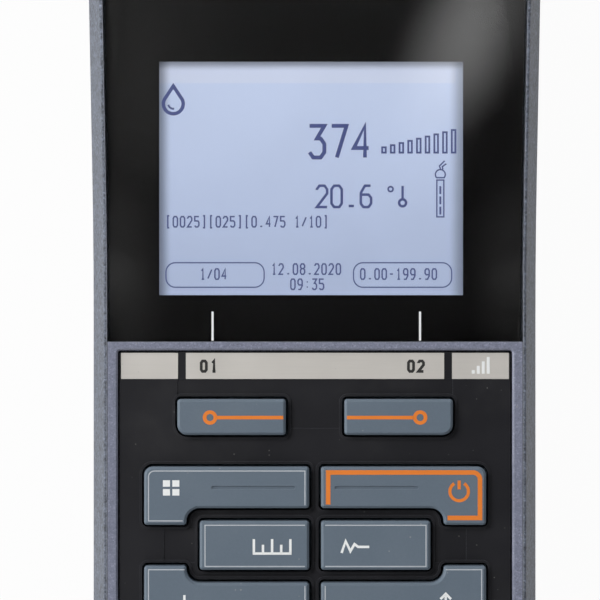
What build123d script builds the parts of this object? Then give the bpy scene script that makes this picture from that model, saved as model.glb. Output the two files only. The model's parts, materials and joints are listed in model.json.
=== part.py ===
from build123d import *
import os
from math import atan, cos, degrees, radians, sin, tan

# Portable multiparameter meter, in millimetres.
# It lies on its back: +Z is up, +Y points to the socket end, and the front slopes down to the user.
# Front pieces are drawn in the face frame: x to the right, y up the display, z out of the front.
# In that frame z = 0 is the top of the rim and y = 0 is the seam between window and keypad.

# Radial play of every screw, pin and insert in its hole
FIT = 0.05

# Housing
HEAD_LENGTH = 80.0
GRIP_LENGTH = 100.0
GRIP_WIDTH = 77.6
HEAD_DEPTH = 52.0
FOOT_DEPTH = 28.0
FLARE_START = 4.0
FLARE_ANGLE = 1.1
FLARE_RADIUS = 1300.0
HEAD_CORNER = 10.0
FOOT_CORNER = 13.0
PARTING_DEPTH = 14.0
SEAL_GAP = 0.5
REAR_STEP = 0.3
REAR_DRAFT = 2.6
WALL = 2.6
BACK_WALL = 2.6
BACK_EDGE = 3.0
RIM_EDGE = 0.3
RIM_LAND = 0.5

# Front pocket, window and display
POCKET_DEPTH = 3.4
POCKET_FLOOR = 2.0
RIM_INSET = 3.35
SEAM = 0.1
GLASS_MARGIN = 0.3
GLASS_THICKNESS = 2.0
GLASS_DROP = 0.1
MASK_THICKNESS = 0.2
GASKET_WIDTH = 2.6
VIEW_WIDTH = 51.9
VIEW_HEIGHT = 39.9
VIEW_X = -0.66
VIEW_Y = 27.85
LCD_MARGIN_X = 1.6
LCD_MARGIN_Y = 2.6
LCD_THICKNESS = 1.8
LCD_DROP = 0.6
BACKLIGHT_THICKNESS = 2.6
HOLDER_WALL = 1.1
HOLDER_GAP = 0.3

# Keypad frame, panel and label strips
FRAME_RIM = 1.72
FRAME_BAR = 1.5
FRAME_FOOT = 11.6
OPENING_CORNER = 7.0
OPENING_SHARP = 0.5
PANEL_DROP = 0.8
PANEL_GAP = 0.3
PANEL_LEDGE = 2.4
STEP_DEPTH = 0.15
LIP_WIDTH = 0.4
LIP_HEIGHT = 0.25
STRIP_TOP = 1.95
STRIP_HEIGHT = 4.45
STRIP_END_WIDTH = 9.7
STRIP_BREAK = 1.35
STRIP_EDGE_GAP = 0.25
STRIP_THICKNESS = 0.2
STRIP_RECESS = 0.1

# Keys: outlines measured from the seam line and from the centre line
KEY_RISE = 1.2
KEY_TRAVEL = 1.0
KEY_GAP = 0.45
KEY_SHARP = 0.5
KEY_BEVEL = 0.4
FLANGE_REACH = 0.8
FLANGE_THICKNESS = 0.6
FLANGE_CLEARANCE = 0.1
STEM_LENGTH = 0.6
STEM_WIDTH = 4.0
SOFT_OUTER = 23.4
SOFT_INNER = 5.0
SOFT_TOP = 9.8
SOFT_HEIGHT = 6.05
SOFT_ROUND = 1.7
HALF_GAP = 1.02
OUTER_X = 29.05
LEG_X = 21.9
MIDDLE_X = 19.6
UPPER_TOP = 21.3
BAR_HEIGHT = 7.0
LEG_DROP = 2.85
LEG_ARC = 2.3
OUTER_ROUND = 1.4
ROW_GAP = 2.2
MIDDLE_HEIGHT = 8.3
ARROW_SPACE = 4.0
ARROW_HEIGHT = 7.0
ARROW_X = 9.6
ENTER_X = 8.8
ARROW_ROUND = 3.0
GROOVE_LENGTH = 14.3
GROOVE_WIDTH = 0.55
GROOVE_DEPTH = 0.22
GROOVE_START = 2.3
STEP_A_X = 23.5
STEP_A_BOTTOM = 14.8
STEP_B_X = 25.8

# Keypad mat and boards
DOME_RELIEF = 0.1
DOME_HEIGHT = 1.0
DOME_RADIUS = 3.0
DOME_TOP_RADIUS = 1.9
MAT_THICKNESS = 1.0
MAT_LAP = 0.8
MAT_BOSS_GAP = 0.3
MAT_RIM = 1.2
BOARD_THICKNESS = 1.6
BOARD_EDGE_GAP = 0.4
BOSS_RADIUS = 1.8
SMALL_SCREW_RADIUS = 1.0
SMALL_HEAD_RADIUS = 1.9
SMALL_HEAD_HEIGHT = 1.2
SMALL_SCREW_BITE = 2.0
MAIN_BOARD_START = 2.6
MAIN_BOARD_END = HEAD_LENGTH - 15.0
MAIN_BOSS_X = GRIP_WIDTH / 2 - 7.2
MAIN_BOSS_IN = 3.5
RIBBON_THICKNESS = 0.2
RIBBON_WIDTH = 16.0
RIBBON_LAP = 8.0
RIBBON_LEAD = 0.5
RIBBON_SLANT = 5.5
PORT_RIBBON_LAP = 7.0
PORT_RIBBON_BEND = 3.0
PORT_RIBBON_DROP = 6.0
CAN_SIZE = (30.0, 22.0, 3.0)
CAN_WALL = 0.3
CAN_CORNER = 0.8
CAN_X = -12.0
CAN_Y = MAIN_BOARD_END - 29.0
CHIP_SIZE = (14.0, 14.0, 1.2)
CHIP_Y = MAIN_BOARD_END - 11.0
COIN_RADIUS = 8.0
COIN_HEIGHT = 3.2
COIN_Y = MAIN_BOARD_END - 30.0
BUZZER_RADIUS = 6.0
BUZZER_HEIGHT = 4.5
BUZZER_HOLE = 1.0
BUZZER_HOLE_DEPTH = 1.5
BUZZER_Y = MAIN_BOARD_START + 14.4
RIGHT_PARTS_X = GRIP_WIDTH / 2 - 20.8

# Housing screws
SEAM_SCREW_Y = 20.0
HOUSING_SCREWS = [
    (GRIP_WIDTH / 2 - 5.8, HEAD_LENGTH - 10.0),
    (GRIP_WIDTH / 2 - 5.6, SEAM_SCREW_Y),
    (GRIP_WIDTH / 2 - 14.8, -GRIP_LENGTH + 9.0),
]
SCREW_RADIUS = 1.45
SCREW_HEAD_RADIUS = 2.75
SCREW_HEAD_HEIGHT = 2.4
SCREW_SEAT = 6.0
SCREW_BITE = 5.4
INSERT_RADIUS = 2.2
INSERT_LENGTH = 6.0
FRONT_BOSS_RADIUS = 3.2
REAR_POST_RADIUS = 4.0
COUNTERBORE_GAP = 0.2

# Socket panel
PANEL_SET_BACK = 1.4
PANEL_WALL = 3.2
PANEL_HALF_WIDTH = GRIP_WIDTH / 2 - 7.3
PANEL_TOP = 0.9
PANEL_FOOT = 3.0
SOCKET_PITCH = 20.4
SOCKET_Z = -23.6
SOCKET_BORE = 5.2
SOCKET_BARREL = 6.3
SOCKET_COLLAR = 6.9
SOCKET_FLANGE = 8.0
SOCKET_FLANGE_HEIGHT = 1.6
SOCKET_COLLAR_HEIGHT = 1.4
SOCKET_HOLE_GAP = 0.15
SOCKET_BORE_DEPTH = 9.0
PLUG_DEPTH = 4.0
RELIEF_WIDTH = 0.6
RELIEF_DEPTH = 0.3
INSERT_SEAT = 5.0
SOCKET_EDGE = 0.4
INSERT_THICKNESS = 3.6
PIN_RADIUS = 0.5
PIN_CIRCLE = 2.6
PIN_REACH = 4.2
PIN_COUNT = 4
NUT_RADIUS = 7.7
NUT_HEIGHT = 2.4
RING_WIDTH = 0.8
RING_HEIGHT = 0.6
PORT_BOARD_Y = HEAD_LENGTH - 17.0
PORT_BOARD_LAP = 1.0
GUIDE_WIDTH = 1.4
GUIDE_GAP = 0.2

# USB ports and their cover
PORT_Z = -40.35
PORT_OPENING = (37.0, 11.3)
COVER_MARGIN = 1.55
COVER_THICKNESS = 1.8
COVER_PLUG_GAP = 0.35
COVER_PLUG_DEPTH = 1.2
COVER_PLUG_WALL = 1.2
COVER_FACE_GAP = 0.05
COVER_CORNER = 2.0
COVER_EDGE = 0.5
COVER_GROOVES = 3
COVER_GROOVE_PITCH = 1.3
COVER_GROOVE_START = 2.4
COVER_GROOVE_WIDTH = 10.0
COVER_GROOVE_DEPTH = 0.3
HINGE_STRIP_HEIGHT = 1.2
HINGE_STRIP_LENGTH = 30.0
HINGE_STRIP_GAP = 0.1
USB_A_X = -9.8
USB_A_SIZE = (13.1, 5.7)
USB_A_TONGUE = (11.1, 1.84)
USB_A_TONGUE_RISE = 0.9
USB_B_X = 9.6
USB_B_SIZE = (12.0, 10.9)
USB_B_MOUTH = (8.45, 7.78)
USB_B_MOUTH_CORNER = 1.7
USB_B_TONGUE = (5.6, 3.2)
USB_B_TONGUE_DROP = 0.3
USB_WALL = 0.35
USB_SET_BACK = 1.6
USB_WELL = 9.0
USB_TONGUE_SET_BACK = 1.0

# Battery bay, in the frame of the rest face
CELL_RADIUS = 7.25
CELL_LENGTH = 49.3
CELL_NUB_RADIUS = 2.7
CELL_NUB_LENGTH = 1.2
CELL_COUNT = 4
CELL_GAP = 0.5
BAY_CENTRE = -20.0
CONTACT_ROOM = 7.5
BAY_LENGTH = CELL_LENGTH + CELL_NUB_LENGTH + CONTACT_ROOM
BAY_WALL = 1.8
BAY_SIDE_GAP = 0.25
LID_DROP = 0.6
LID_THICKNESS = 3.0
LID_LEDGE = 3.0
LID_END_LEDGE = 9.0
LID_CORNER = 4.0
LID_EDGE = 0.6
LID_GAP = 0.35
LID_SEAL_GAP = 0.5
LID_SEAL_WIDTH = 1.2
LID_SEAL_HEIGHT = 0.6
LID_SCREW_RADIUS = 1.95
LID_SCREW_GAP = 0.25
LID_HEAD_RADIUS = 3.8
LID_HEAD_HEIGHT = 1.6
LID_SCREW_LENGTH = 8.0
LID_SLOT_WIDTH = 1.2
LID_SLOT_DEPTH = 0.8
LID_HEAD_EDGE = 0.3
LID_INSERT_RADIUS = 3.0
CONTACT_THICKNESS = 0.4
CONTACT_WIDTH = 8.0
LEAF_TIP = 0.5
GRIP_GROOVES = 5
GRIP_GROOVE_PITCH = 2.4
GRIP_GROOVE_WIDTH = 1.0
GRIP_GROOVE_DEPTH = 0.5
GRIP_GROOVE_START = 6.0
GRIP_GROOVE_LENGTH = 24.0
GRIP_GROOVE_TAPER = 2.0

BODY_LENGTH = HEAD_LENGTH + GRIP_LENGTH
REACH = 2 * BODY_LENGTH
SLOPE = (HEAD_DEPTH - FOOT_DEPTH) / BODY_LENGTH
TILT = atan(SLOPE)
DEPTH_AT_SEAM = FOOT_DEPTH + SLOPE * GRIP_LENGTH
FACE = Plane(
    origin=(0, 0, DEPTH_AT_SEAM * cos(TILT)),
    x_dir=(1, 0, 0),
    z_dir=(0, -sin(TILT), cos(TILT)),
)
REAR_TOP = -PARTING_DEPTH - SEAL_GAP
FAR_BELOW = -HEAD_DEPTH - 20.0
POCKET_Z = -POCKET_DEPTH
FLOOR_Z = -POCKET_DEPTH - POCKET_FLOOR
PANEL_Z = -PANEL_DROP
SOCKET_PANEL_Y = HEAD_LENGTH - PANEL_SET_BACK
RING_RADIUS = SOCKET_BARREL + SOCKET_HOLE_GAP + RING_WIDTH
STEM_Z = POCKET_Z - FLANGE_CLEARANCE - FLANGE_THICKNESS - STEM_LENGTH
DOME_Z = STEM_Z - KEY_TRAVEL - DOME_RELIEF
MAT_Z = DOME_Z - DOME_HEIGHT - MAT_THICKNESS
KEY_BOARD_Z = MAT_Z - BOARD_THICKNESS
GLASS_Z = -GLASS_DROP - GLASS_THICKNESS
MASK_Z = GLASS_Z - MASK_THICKNESS
LCD_TOP_Z = MASK_Z - LCD_DROP
HOLDER_Z = LCD_TOP_Z - LCD_THICKNESS - BACKLIGHT_THICKNESS - HOLDER_WALL
MAIN_BOARD_Z = HOLDER_Z - BOARD_THICKNESS
SCREW_HEAD_Z = REAR_TOP - SCREW_SEAT
CELL_PITCH = 2 * CELL_RADIUS + CELL_GAP
BAY_WIDTH = CELL_COUNT * CELL_PITCH - CELL_GAP + 2 * BAY_SIDE_GAP
LID_TOP = LID_DROP + LID_THICKNESS
LEDGE_Z = LID_TOP + LID_SEAL_HEIGHT
CELL_Z = LEDGE_Z + CELL_RADIUS
BAY_ROOF = CELL_Z + CELL_RADIUS + BAY_SIDE_GAP
LID_WIDTH = BAY_WIDTH + 2 * LID_LEDGE
LID_LENGTH = BAY_LENGTH + 2 * LID_END_LEDGE


def side_x(y, inset):
    """Half width of the housing outline at height y, beyond the flare's bend."""
    bend = radians(FLARE_ANGLE)
    radius = FLARE_RADIUS + inset
    x_end = GRIP_WIDTH / 2 - inset + radius * (1 - cos(bend))
    return x_end + (y - FLARE_START - radius * sin(bend)) * tan(bend)


def outline(inset, z):
    """Face of the housing's front outline, drawn in by inset, at depth z of the face frame."""
    half = GRIP_WIDTH / 2 - inset
    bend = radians(FLARE_ANGLE)
    radius = FLARE_RADIUS + inset
    foot = -GRIP_LENGTH + inset
    head = HEAD_LENGTH - inset
    head_x = side_x(head, inset)
    start = (half, FLARE_START)
    middle = (half + radius * (1 - cos(bend / 2)), FLARE_START + radius * sin(bend / 2))
    end = (half + radius * (1 - cos(bend)), FLARE_START + radius * sin(bend))
    side = [
        Line((half, foot), start).edge(),
        ThreePointArc(start, middle, end).edge(),
        Line(end, (head_x, head)).edge(),
    ]
    other_side = [mirror(edge, about=Plane.YZ) for edge in side]
    ends = [Line((head_x, head), (-head_x, head)).edge(), Line((half, foot), (-half, foot)).edge()]
    face = make_face(side + ends + other_side)
    face = round_corners(face, [(head_x, head), (-head_x, head)], HEAD_CORNER - inset)
    face = round_corners(face, [(half, foot), (-half, foot)], FOOT_CORNER - inset)
    return Pos(0, 0, z) * face


def round_corners(face, points, radius):
    """Fillet of the face's corners nearest to the given points."""
    corners = [face.vertices().sort_by_distance((x, y, 0))[0] for x, y in points]
    return fillet(corners, radius)


def rect(x0, y0, x1, y1):
    """Rectangle between two corners."""
    return Pos((x0 + x1) / 2, (y0 + y1) / 2) * Rectangle(abs(x1 - x0), abs(y1 - y0))


def slab(face, low, high):
    """Straight solid of a face between two heights."""
    return extrude(Pos(0, 0, low) * face, amount=high - low, dir=(0, 0, 1))


def block(x0, y0, z0, x1, y1, z1):
    """Box between two corners."""
    return slab(rect(x0, y0, x1, y1), z0, z1)


def rod(x, y, radius, low, high):
    """Upright cylinder between two heights."""
    return slab(Pos(x, y) * Circle(radius), low, high)


def along_y(x, z, radius, start, end):
    """Cylinder that runs along y between two places."""
    return Pos(x, (start + end) / 2, z) * Rot(90, 0, 0) * Cylinder(radius, end - start)


def both_sides(points):
    """Each point and its mirror image in the centre plane."""
    return [(side * x, y) for x, y in points for side in (1, -1)]


def seat(shape):
    """Shape drawn in the face frame, laid in its place in the resting meter."""
    return FACE.location * shape


def joined(solids):
    """One node of separate solids."""
    return Compound([solid for shape in solids for solid in shape.solids()])


def key_outlines():
    """Outline of every key cap, by name, in the face frame."""
    upper_bottom = -UPPER_TOP - BAR_HEIGHT
    middle_top = upper_bottom - ROW_GAP
    middle_bottom = middle_top - MIDDLE_HEIGHT
    lower_top = middle_bottom - ROW_GAP
    lower_bottom = lower_top - BAR_HEIGHT
    up_top = lower_bottom - ARROW_SPACE
    enter_top = up_top - ARROW_HEIGHT - ROW_GAP
    enter_bottom = enter_top - MIDDLE_HEIGHT
    down_top = enter_bottom - ROW_GAP
    down_bottom = down_top - ARROW_HEIGHT

    soft = rect(-SOFT_OUTER, -SOFT_TOP, -SOFT_INNER, -SOFT_TOP - SOFT_HEIGHT)
    soft = round_corners(soft, [(-SOFT_OUTER, -SOFT_TOP - SOFT_HEIGHT)], SOFT_ROUND)
    upper = stepped_key(-UPPER_TOP, upper_bottom, upper_bottom - LEG_DROP)
    middle = rect(-MIDDLE_X, middle_top, -HALF_GAP, middle_bottom)
    lower = stepped_key(lower_bottom, lower_top, lower_top + LEG_DROP)
    left = rect(-OUTER_X, enter_top, -ENTER_X - ROW_GAP, enter_bottom)
    left = round_corners(left, [(-OUTER_X, enter_top), (-OUTER_X, enter_bottom)], ARROW_ROUND)
    up = rect(-ARROW_X, up_top, ARROW_X, up_top - ARROW_HEIGHT)
    up = round_corners(up, both_sides([(ARROW_X, up_top)]), ARROW_ROUND)
    down = rect(-ARROW_X, down_top, ARROW_X, down_bottom)
    down = round_corners(down, both_sides([(ARROW_X, down_bottom)]), ARROW_ROUND)
    faces = {
        "soft_key_left": soft,
        "soft_key_right": mirror(soft, about=Plane.YZ),
        "mode_key": upper,
        "power_key": mirror(upper, about=Plane.YZ),
        "calibrate_key": middle,
        "hold_key": mirror(middle, about=Plane.YZ),
        "store_key": lower,
        "recall_key": mirror(lower, about=Plane.YZ),
        "up_key": up,
        "left_key": left,
        "enter_key": rect(-ENTER_X, enter_top, ENTER_X, enter_bottom),
        "right_key": mirror(left, about=Plane.YZ),
        "down_key": down,
    }
    return {name: soften(face) for name, face in faces.items()}


def stepped_key(far, near, leg):
    """Wide key of the left column, with a leg beside the key of the middle row."""
    points = [
        (-OUTER_X, far),
        (-HALF_GAP, far),
        (-HALF_GAP, near),
        (-LEG_X, near),
        (-LEG_X, leg),
        (-OUTER_X, leg),
    ]
    face = make_face(Polyline(points, close=True).edges())
    face = round_corners(face, [(-OUTER_X, far)], OUTER_ROUND)
    return round_corners(face, [(-LEG_X, near)], LEG_ARC)


def soften(face):
    """Small radius on the corners of a key outline that are still sharp."""
    sharp = []
    for vertex in face.vertices():
        meeting = [e for e in face.edges() if min(v.distance_to(vertex) for v in e.vertices()) < 1e-6]
        if all(edge.geom_type == GeomType.LINE for edge in meeting):
            sharp.append(vertex)
    return fillet(sharp, KEY_SHARP)


def frame_opening(margin):
    """Opening of the keypad frame, drawn in by margin."""
    half = GRIP_WIDTH / 2 - RIM_INSET - SEAM - FRAME_RIM - margin
    top = -FRAME_BAR - margin
    foot = -GRIP_LENGTH + RIM_INSET + SEAM + FRAME_FOOT + margin
    face = rect(-half, top, half, foot)
    face = round_corners(face, both_sides([(half, foot)]), OPENING_CORNER - margin)
    return round_corners(face, both_sides([(half, top)]), OPENING_SHARP)


def above_seam(face):
    """Part of a face on the window's side of the seam."""
    return face & rect(-GRIP_WIDTH, SEAM / 2, GRIP_WIDTH, BODY_LENGTH)


def below_seam(face):
    """Part of a face on the keypad's side of the seam."""
    return face & rect(-GRIP_WIDTH, -SEAM / 2, GRIP_WIDTH, -BODY_LENGTH)


def view_rect(margin_x, margin_y):
    """Rectangle round the visible display area."""
    return Pos(VIEW_X, VIEW_Y) * Rectangle(VIEW_WIDTH + 2 * margin_x, VIEW_HEIGHT + 2 * margin_y)


def main_bosses():
    """Places of the bosses that carry the main board."""
    return both_sides(
        [(MAIN_BOSS_X, MAIN_BOARD_START + MAIN_BOSS_IN), (MAIN_BOSS_X, MAIN_BOARD_END - MAIN_BOSS_IN)]
    )


def board_bosses():
    """Places of the bosses that carry the keypad board."""
    x = GRIP_WIDTH / 2 - RIM_INSET - BOSS_RADIUS - RIM_LAND
    foot = -GRIP_LENGTH + FRAME_FOOT + FOOT_CORNER
    return both_sides([(x, -UPPER_TOP), (x, foot)])


def front_shell():
    """Upper casing with its rim, pocket, floor, bosses and display opening."""
    top_inset = RIM_INSET - RIM_LAND
    shell = loft([outline(0, -PARTING_DEPTH), outline(top_inset, 0)], ruled=True)
    shell = fillet(shell.faces().sort_by(Axis.Z)[-1].edges(), RIM_EDGE)
    cavity = loft(
        [outline(WALL, -PARTING_DEPTH), outline(top_inset + WALL, 0)],
        ruled=True,
    ) & slab(rect(-GRIP_WIDTH, -GRIP_LENGTH, GRIP_WIDTH, HEAD_LENGTH), -PARTING_DEPTH, FLOOR_Z)
    shell -= cavity
    shell -= slab(outline(RIM_INSET, 0), POCKET_Z, 1)
    for x, y in both_sides(HOUSING_SCREWS):
        shell += rod(x, y, FRONT_BOSS_RADIUS, -PARTING_DEPTH, FLOOR_Z)
        shell -= rod(x, y, INSERT_RADIUS + FIT, -PARTING_DEPTH, -PARTING_DEPTH + INSERT_LENGTH)
    for places, low in ((main_bosses(), HOLDER_Z), (board_bosses(), MAT_Z)):
        for x, y in places:
            shell += rod(x, y, BOSS_RADIUS, low, FLOOR_Z)
            shell -= rod(x, y, SMALL_SCREW_RADIUS + FIT, low, FLOOR_Z)
    holder = view_rect(LCD_MARGIN_X + HOLDER_WALL + HOLDER_GAP, LCD_MARGIN_Y + HOLDER_WALL + HOLDER_GAP)
    shell -= slab(holder, FLOOR_Z - 1, POCKET_Z + 1)
    shell -= slab(frame_opening(PANEL_LEDGE), FLOOR_Z - 1, POCKET_Z + 1)
    return seat(shell)


def rear_inset(z):
    """Inset of the rear shell's outline at depth z."""
    share = (REAR_TOP - z) / (REAR_TOP - FAR_BELOW)
    return REAR_STEP + REAR_DRAFT * share


def rear_shell():
    """Lower casing with its flat rest face, battery bay, socket panel and screw posts."""
    top, low = REAR_TOP, FAR_BELOW
    outer = seat(loft([outline(rear_inset(top), top), outline(rear_inset(low), low)], ruled=True))
    ground = block(-REACH, -REACH, -REACH, REACH, REACH, 0)
    outer = outer - ground
    outer = fillet(outer.faces().sort_by(Axis.Z)[0].edges(), BACK_EDGE)
    cavity = seat(
        loft([outline(rear_inset(top) + WALL, top), outline(rear_inset(low) + WALL, low)], ruled=True)
    )
    cavity -= block(-REACH, -REACH, -REACH, REACH, REACH, BACK_WALL)
    shell = outer - cavity

    inside = seat(socket_panel_pad()) + battery_box()
    for x, y in both_sides(HOUSING_SCREWS):
        inside += seat(rod(x, y, REAR_POST_RADIUS, FAR_BELOW, REAR_TOP))
    for side in (1, -1):
        inside += seat(board_guides(side))
    shell += inside & outer

    for x, y in both_sides(HOUSING_SCREWS):
        bore = rod(x, y, SCREW_RADIUS + COUNTERBORE_GAP, FAR_BELOW, REAR_TOP + 1)
        counterbore = rod(x, y, SCREW_HEAD_RADIUS + COUNTERBORE_GAP, FAR_BELOW, SCREW_HEAD_Z)
        shell -= seat(bore + counterbore)
    shell -= seat(socket_panel_cuts())
    shell -= battery_cuts()
    return shell


def socket_panel_pad():
    """Thickened wall behind the flat that carries the sockets and ports."""
    low = -HEAD_DEPTH
    return block(
        -PANEL_HALF_WIDTH - WALL,
        SOCKET_PANEL_Y - PANEL_WALL,
        low,
        PANEL_HALF_WIDTH + WALL,
        HEAD_LENGTH,
        REAR_TOP,
    )


def socket_panel_cuts():
    """Flat of the socket panel, its three socket holes and the port opening."""
    top = REAR_TOP - PANEL_TOP
    low = -HEAD_DEPTH + PANEL_FOOT
    flat = slab(
        rect(-PANEL_HALF_WIDTH, SOCKET_PANEL_Y, PANEL_HALF_WIDTH, HEAD_LENGTH + 10),
        low,
        top,
    )
    cuts = flat
    for x in socket_places():
        hole = SOCKET_BARREL + SOCKET_HOLE_GAP
        cuts += along_y(x, SOCKET_Z, hole, SOCKET_PANEL_Y - 2 * PANEL_WALL, SOCKET_PANEL_Y + 1)
    width, height = PORT_OPENING
    cuts += Pos(0, SOCKET_PANEL_Y, PORT_Z) * Box(width, 4 * PANEL_WALL, height)
    return cuts


def socket_places():
    """Centre lines of the three sensor sockets."""
    return [-SOCKET_PITCH, 0, SOCKET_PITCH]


def board_guides(side):
    """Two ribs that hold one edge of the port board."""
    start = PORT_BOARD_Y - GUIDE_GAP
    end = PORT_BOARD_Y + BOARD_THICKNESS + GUIDE_GAP
    inner = PANEL_HALF_WIDTH - BOARD_EDGE_GAP
    outer = side * GRIP_WIDTH / 2
    low = -HEAD_DEPTH
    high = REAR_TOP - PORT_BOARD_LAP
    ribs = block(side * inner, start - GUIDE_WIDTH, low, outer, start, high)
    return ribs + block(side * inner, end, low, outer, end + GUIDE_WIDTH, high)


def battery_box():
    """Tray for the lid, walls and roof of the battery bay, and the lid screw bosses."""
    half_w = LID_WIDTH / 2 + LID_GAP + BAY_WALL
    half_l = LID_LENGTH / 2 + LID_GAP + BAY_WALL
    tray_top = LEDGE_Z + BAY_WALL
    box = Pos(0, BAY_CENTRE, tray_top / 2) * Box(2 * half_w, 2 * half_l, tray_top)
    roof = BAY_ROOF + BAY_WALL
    bay = Box(BAY_WIDTH + 2 * BAY_WALL, BAY_LENGTH + 2 * BAY_WALL, roof)
    box += Pos(0, BAY_CENTRE, roof / 2) * bay
    for y in lid_screw_places():
        box += rod(0, y, LID_INSERT_RADIUS + BAY_WALL, 0, LEDGE_Z + LID_SCREW_LENGTH)
    return box


def battery_cuts():
    """Recess of the lid, room for the cells and the holes of the lid inserts."""
    recess = lid_outline(LID_GAP)
    cuts = slab(recess, -1, LEDGE_Z)
    cuts += Pos(0, BAY_CENTRE, BAY_ROOF / 2) * Box(BAY_WIDTH, BAY_LENGTH, BAY_ROOF)
    for y in lid_screw_places():
        cuts += rod(0, y, LID_INSERT_RADIUS, LEDGE_Z, LEDGE_Z + LID_SCREW_LENGTH - BAY_WALL)
    return cuts


def lid_outline(margin):
    """Outline of the battery lid, grown by margin."""
    width = LID_WIDTH + 2 * margin
    length = LID_LENGTH + 2 * margin
    return Pos(0, BAY_CENTRE) * RectangleRounded(width, length, LID_CORNER + margin)


def lid_screw_places():
    """Places of the two lid screws along the meter."""
    reach = BAY_LENGTH / 2 + LID_END_LEDGE / 2
    return [BAY_CENTRE - reach, BAY_CENTRE + reach]


def housing_seal():
    """Flat rubber seal between the two shells."""
    ring = outline(REAR_STEP + 0.15, 0) - outline(WALL - 0.3, 0)
    return seat(slab(ring, REAR_TOP, -PARTING_DEPTH))


def housing_screws():
    """Screws that pull the rear shell to the front shell."""
    screws = []
    tip = -PARTING_DEPTH + SCREW_BITE
    for x, y in both_sides(HOUSING_SCREWS):
        head = rod(x, y, SCREW_HEAD_RADIUS, SCREW_HEAD_Z - SCREW_HEAD_HEIGHT, SCREW_HEAD_Z)
        socket = Pos(x, y) * RegularPolygon(SCREW_RADIUS, 6)
        head -= slab(socket, SCREW_HEAD_Z - SCREW_HEAD_HEIGHT, SCREW_HEAD_Z - SCREW_HEAD_HEIGHT / 2)
        screws.append(seat(head + rod(x, y, SCREW_RADIUS, SCREW_HEAD_Z, tip)))
    return joined(screws)


def screw_inserts():
    """Brass inserts in the front shell's bosses."""
    inserts = []
    top = -PARTING_DEPTH + INSERT_LENGTH
    for x, y in both_sides(HOUSING_SCREWS):
        insert = rod(x, y, INSERT_RADIUS, -PARTING_DEPTH, top)
        inserts.append(seat(insert - rod(x, y, SCREW_RADIUS + FIT, -PARTING_DEPTH, top)))
    return joined(inserts)


def window_outline(margin):
    """Outline of the display window, drawn in by margin."""
    return above_seam(outline(RIM_INSET + GLASS_MARGIN + margin, 0))


def display_window():
    """Clear window over the display."""
    return seat(slab(window_outline(0), GLASS_Z, -GLASS_DROP))


def window_mask():
    """Black layer behind the window, open at the display area."""
    return seat(slab(window_outline(0.1) - view_rect(0, 0), MASK_Z, GLASS_Z))


def window_gasket():
    """Foam ring that bonds the window to the pocket's floor."""
    inner = window_outline(GASKET_WIDTH) & rect(-GRIP_WIDTH, GASKET_WIDTH, GRIP_WIDTH, BODY_LENGTH)
    return seat(slab(window_outline(0.1) - inner, POCKET_Z, MASK_Z))


def lcd_glass():
    """Display glass."""
    top = LCD_TOP_Z
    return seat(slab(view_rect(LCD_MARGIN_X, LCD_MARGIN_Y), top - LCD_THICKNESS, top))


def backlight_guide():
    """Light guide behind the display glass."""
    top = LCD_TOP_Z - LCD_THICKNESS
    return seat(slab(view_rect(LCD_MARGIN_X, LCD_MARGIN_Y), top - BACKLIGHT_THICKNESS, top))


def lcd_holder():
    """White tray that holds the display glass and its light guide."""
    outer = view_rect(LCD_MARGIN_X + HOLDER_WALL, LCD_MARGIN_Y + HOLDER_WALL)
    tray = slab(outer, HOLDER_Z, LCD_TOP_Z)
    tray -= slab(view_rect(LCD_MARGIN_X, LCD_MARGIN_Y), HOLDER_Z + HOLDER_WALL, LCD_TOP_Z)
    return seat(tray)


def keypad_frame():
    """Frame round the keypad panel, with the bar below the window."""
    outer = below_seam(outline(RIM_INSET + SEAM, 0))
    frame = slab(outer - frame_opening(0), POCKET_Z, 0)
    top = frame.faces().sort_by(Axis.Z)[-1]
    return seat(chamfer(top.inner_wires()[0].edges(), RIM_EDGE))


def keypad_panel(outlines):
    """Black panel with a lipped well for each key and seats for the label strips."""
    panel = slab(frame_opening(PANEL_GAP), POCKET_Z, PANEL_Z)
    step_a = rect(-STEP_A_X, -STRIP_TOP - STRIP_HEIGHT, STEP_A_X, -STEP_A_BOTTOM)
    leg_end = -UPPER_TOP - BAR_HEIGHT - LEG_DROP
    lower_leg = -UPPER_TOP - BAR_HEIGHT - 2 * ROW_GAP - MIDDLE_HEIGHT + LEG_DROP
    step_b = rect(-STEP_B_X, leg_end - KEY_GAP, STEP_B_X, lower_leg + KEY_GAP)
    for step in (step_a, step_b):
        panel -= slab(step, PANEL_Z - STEP_DEPTH, 1)
    for face in outlines.values():
        panel += slab(offset(face, KEY_GAP + LIP_WIDTH), PANEL_Z - 1, PANEL_Z + LIP_HEIGHT)
    for face in outlines.values():
        panel -= slab(offset(face, KEY_GAP), POCKET_Z - 1, 1)
    for face in strip_outlines().values():
        panel -= slab(face, PANEL_Z - STRIP_RECESS, 1)
    return seat(panel)


def strip_outlines():
    """Outlines of the three label strips."""
    edge = GRIP_WIDTH / 2 - RIM_INSET - SEAM - FRAME_RIM - PANEL_GAP - STRIP_EDGE_GAP
    inner = edge - STRIP_END_WIDTH
    low = -STRIP_TOP - STRIP_HEIGHT
    return {
        "label_strip_left": rect(-edge, -STRIP_TOP, -inner, low),
        "label_strip_middle": rect(-inner + STRIP_BREAK, -STRIP_TOP, inner - STRIP_BREAK, low),
        "label_strip_right": rect(inner, -STRIP_TOP, edge, low),
    }


def label_strip(face):
    """Aluminium foil strip in its seat on the panel."""
    low = PANEL_Z - STRIP_RECESS
    return seat(slab(face, low, low + STRIP_THICKNESS))


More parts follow.
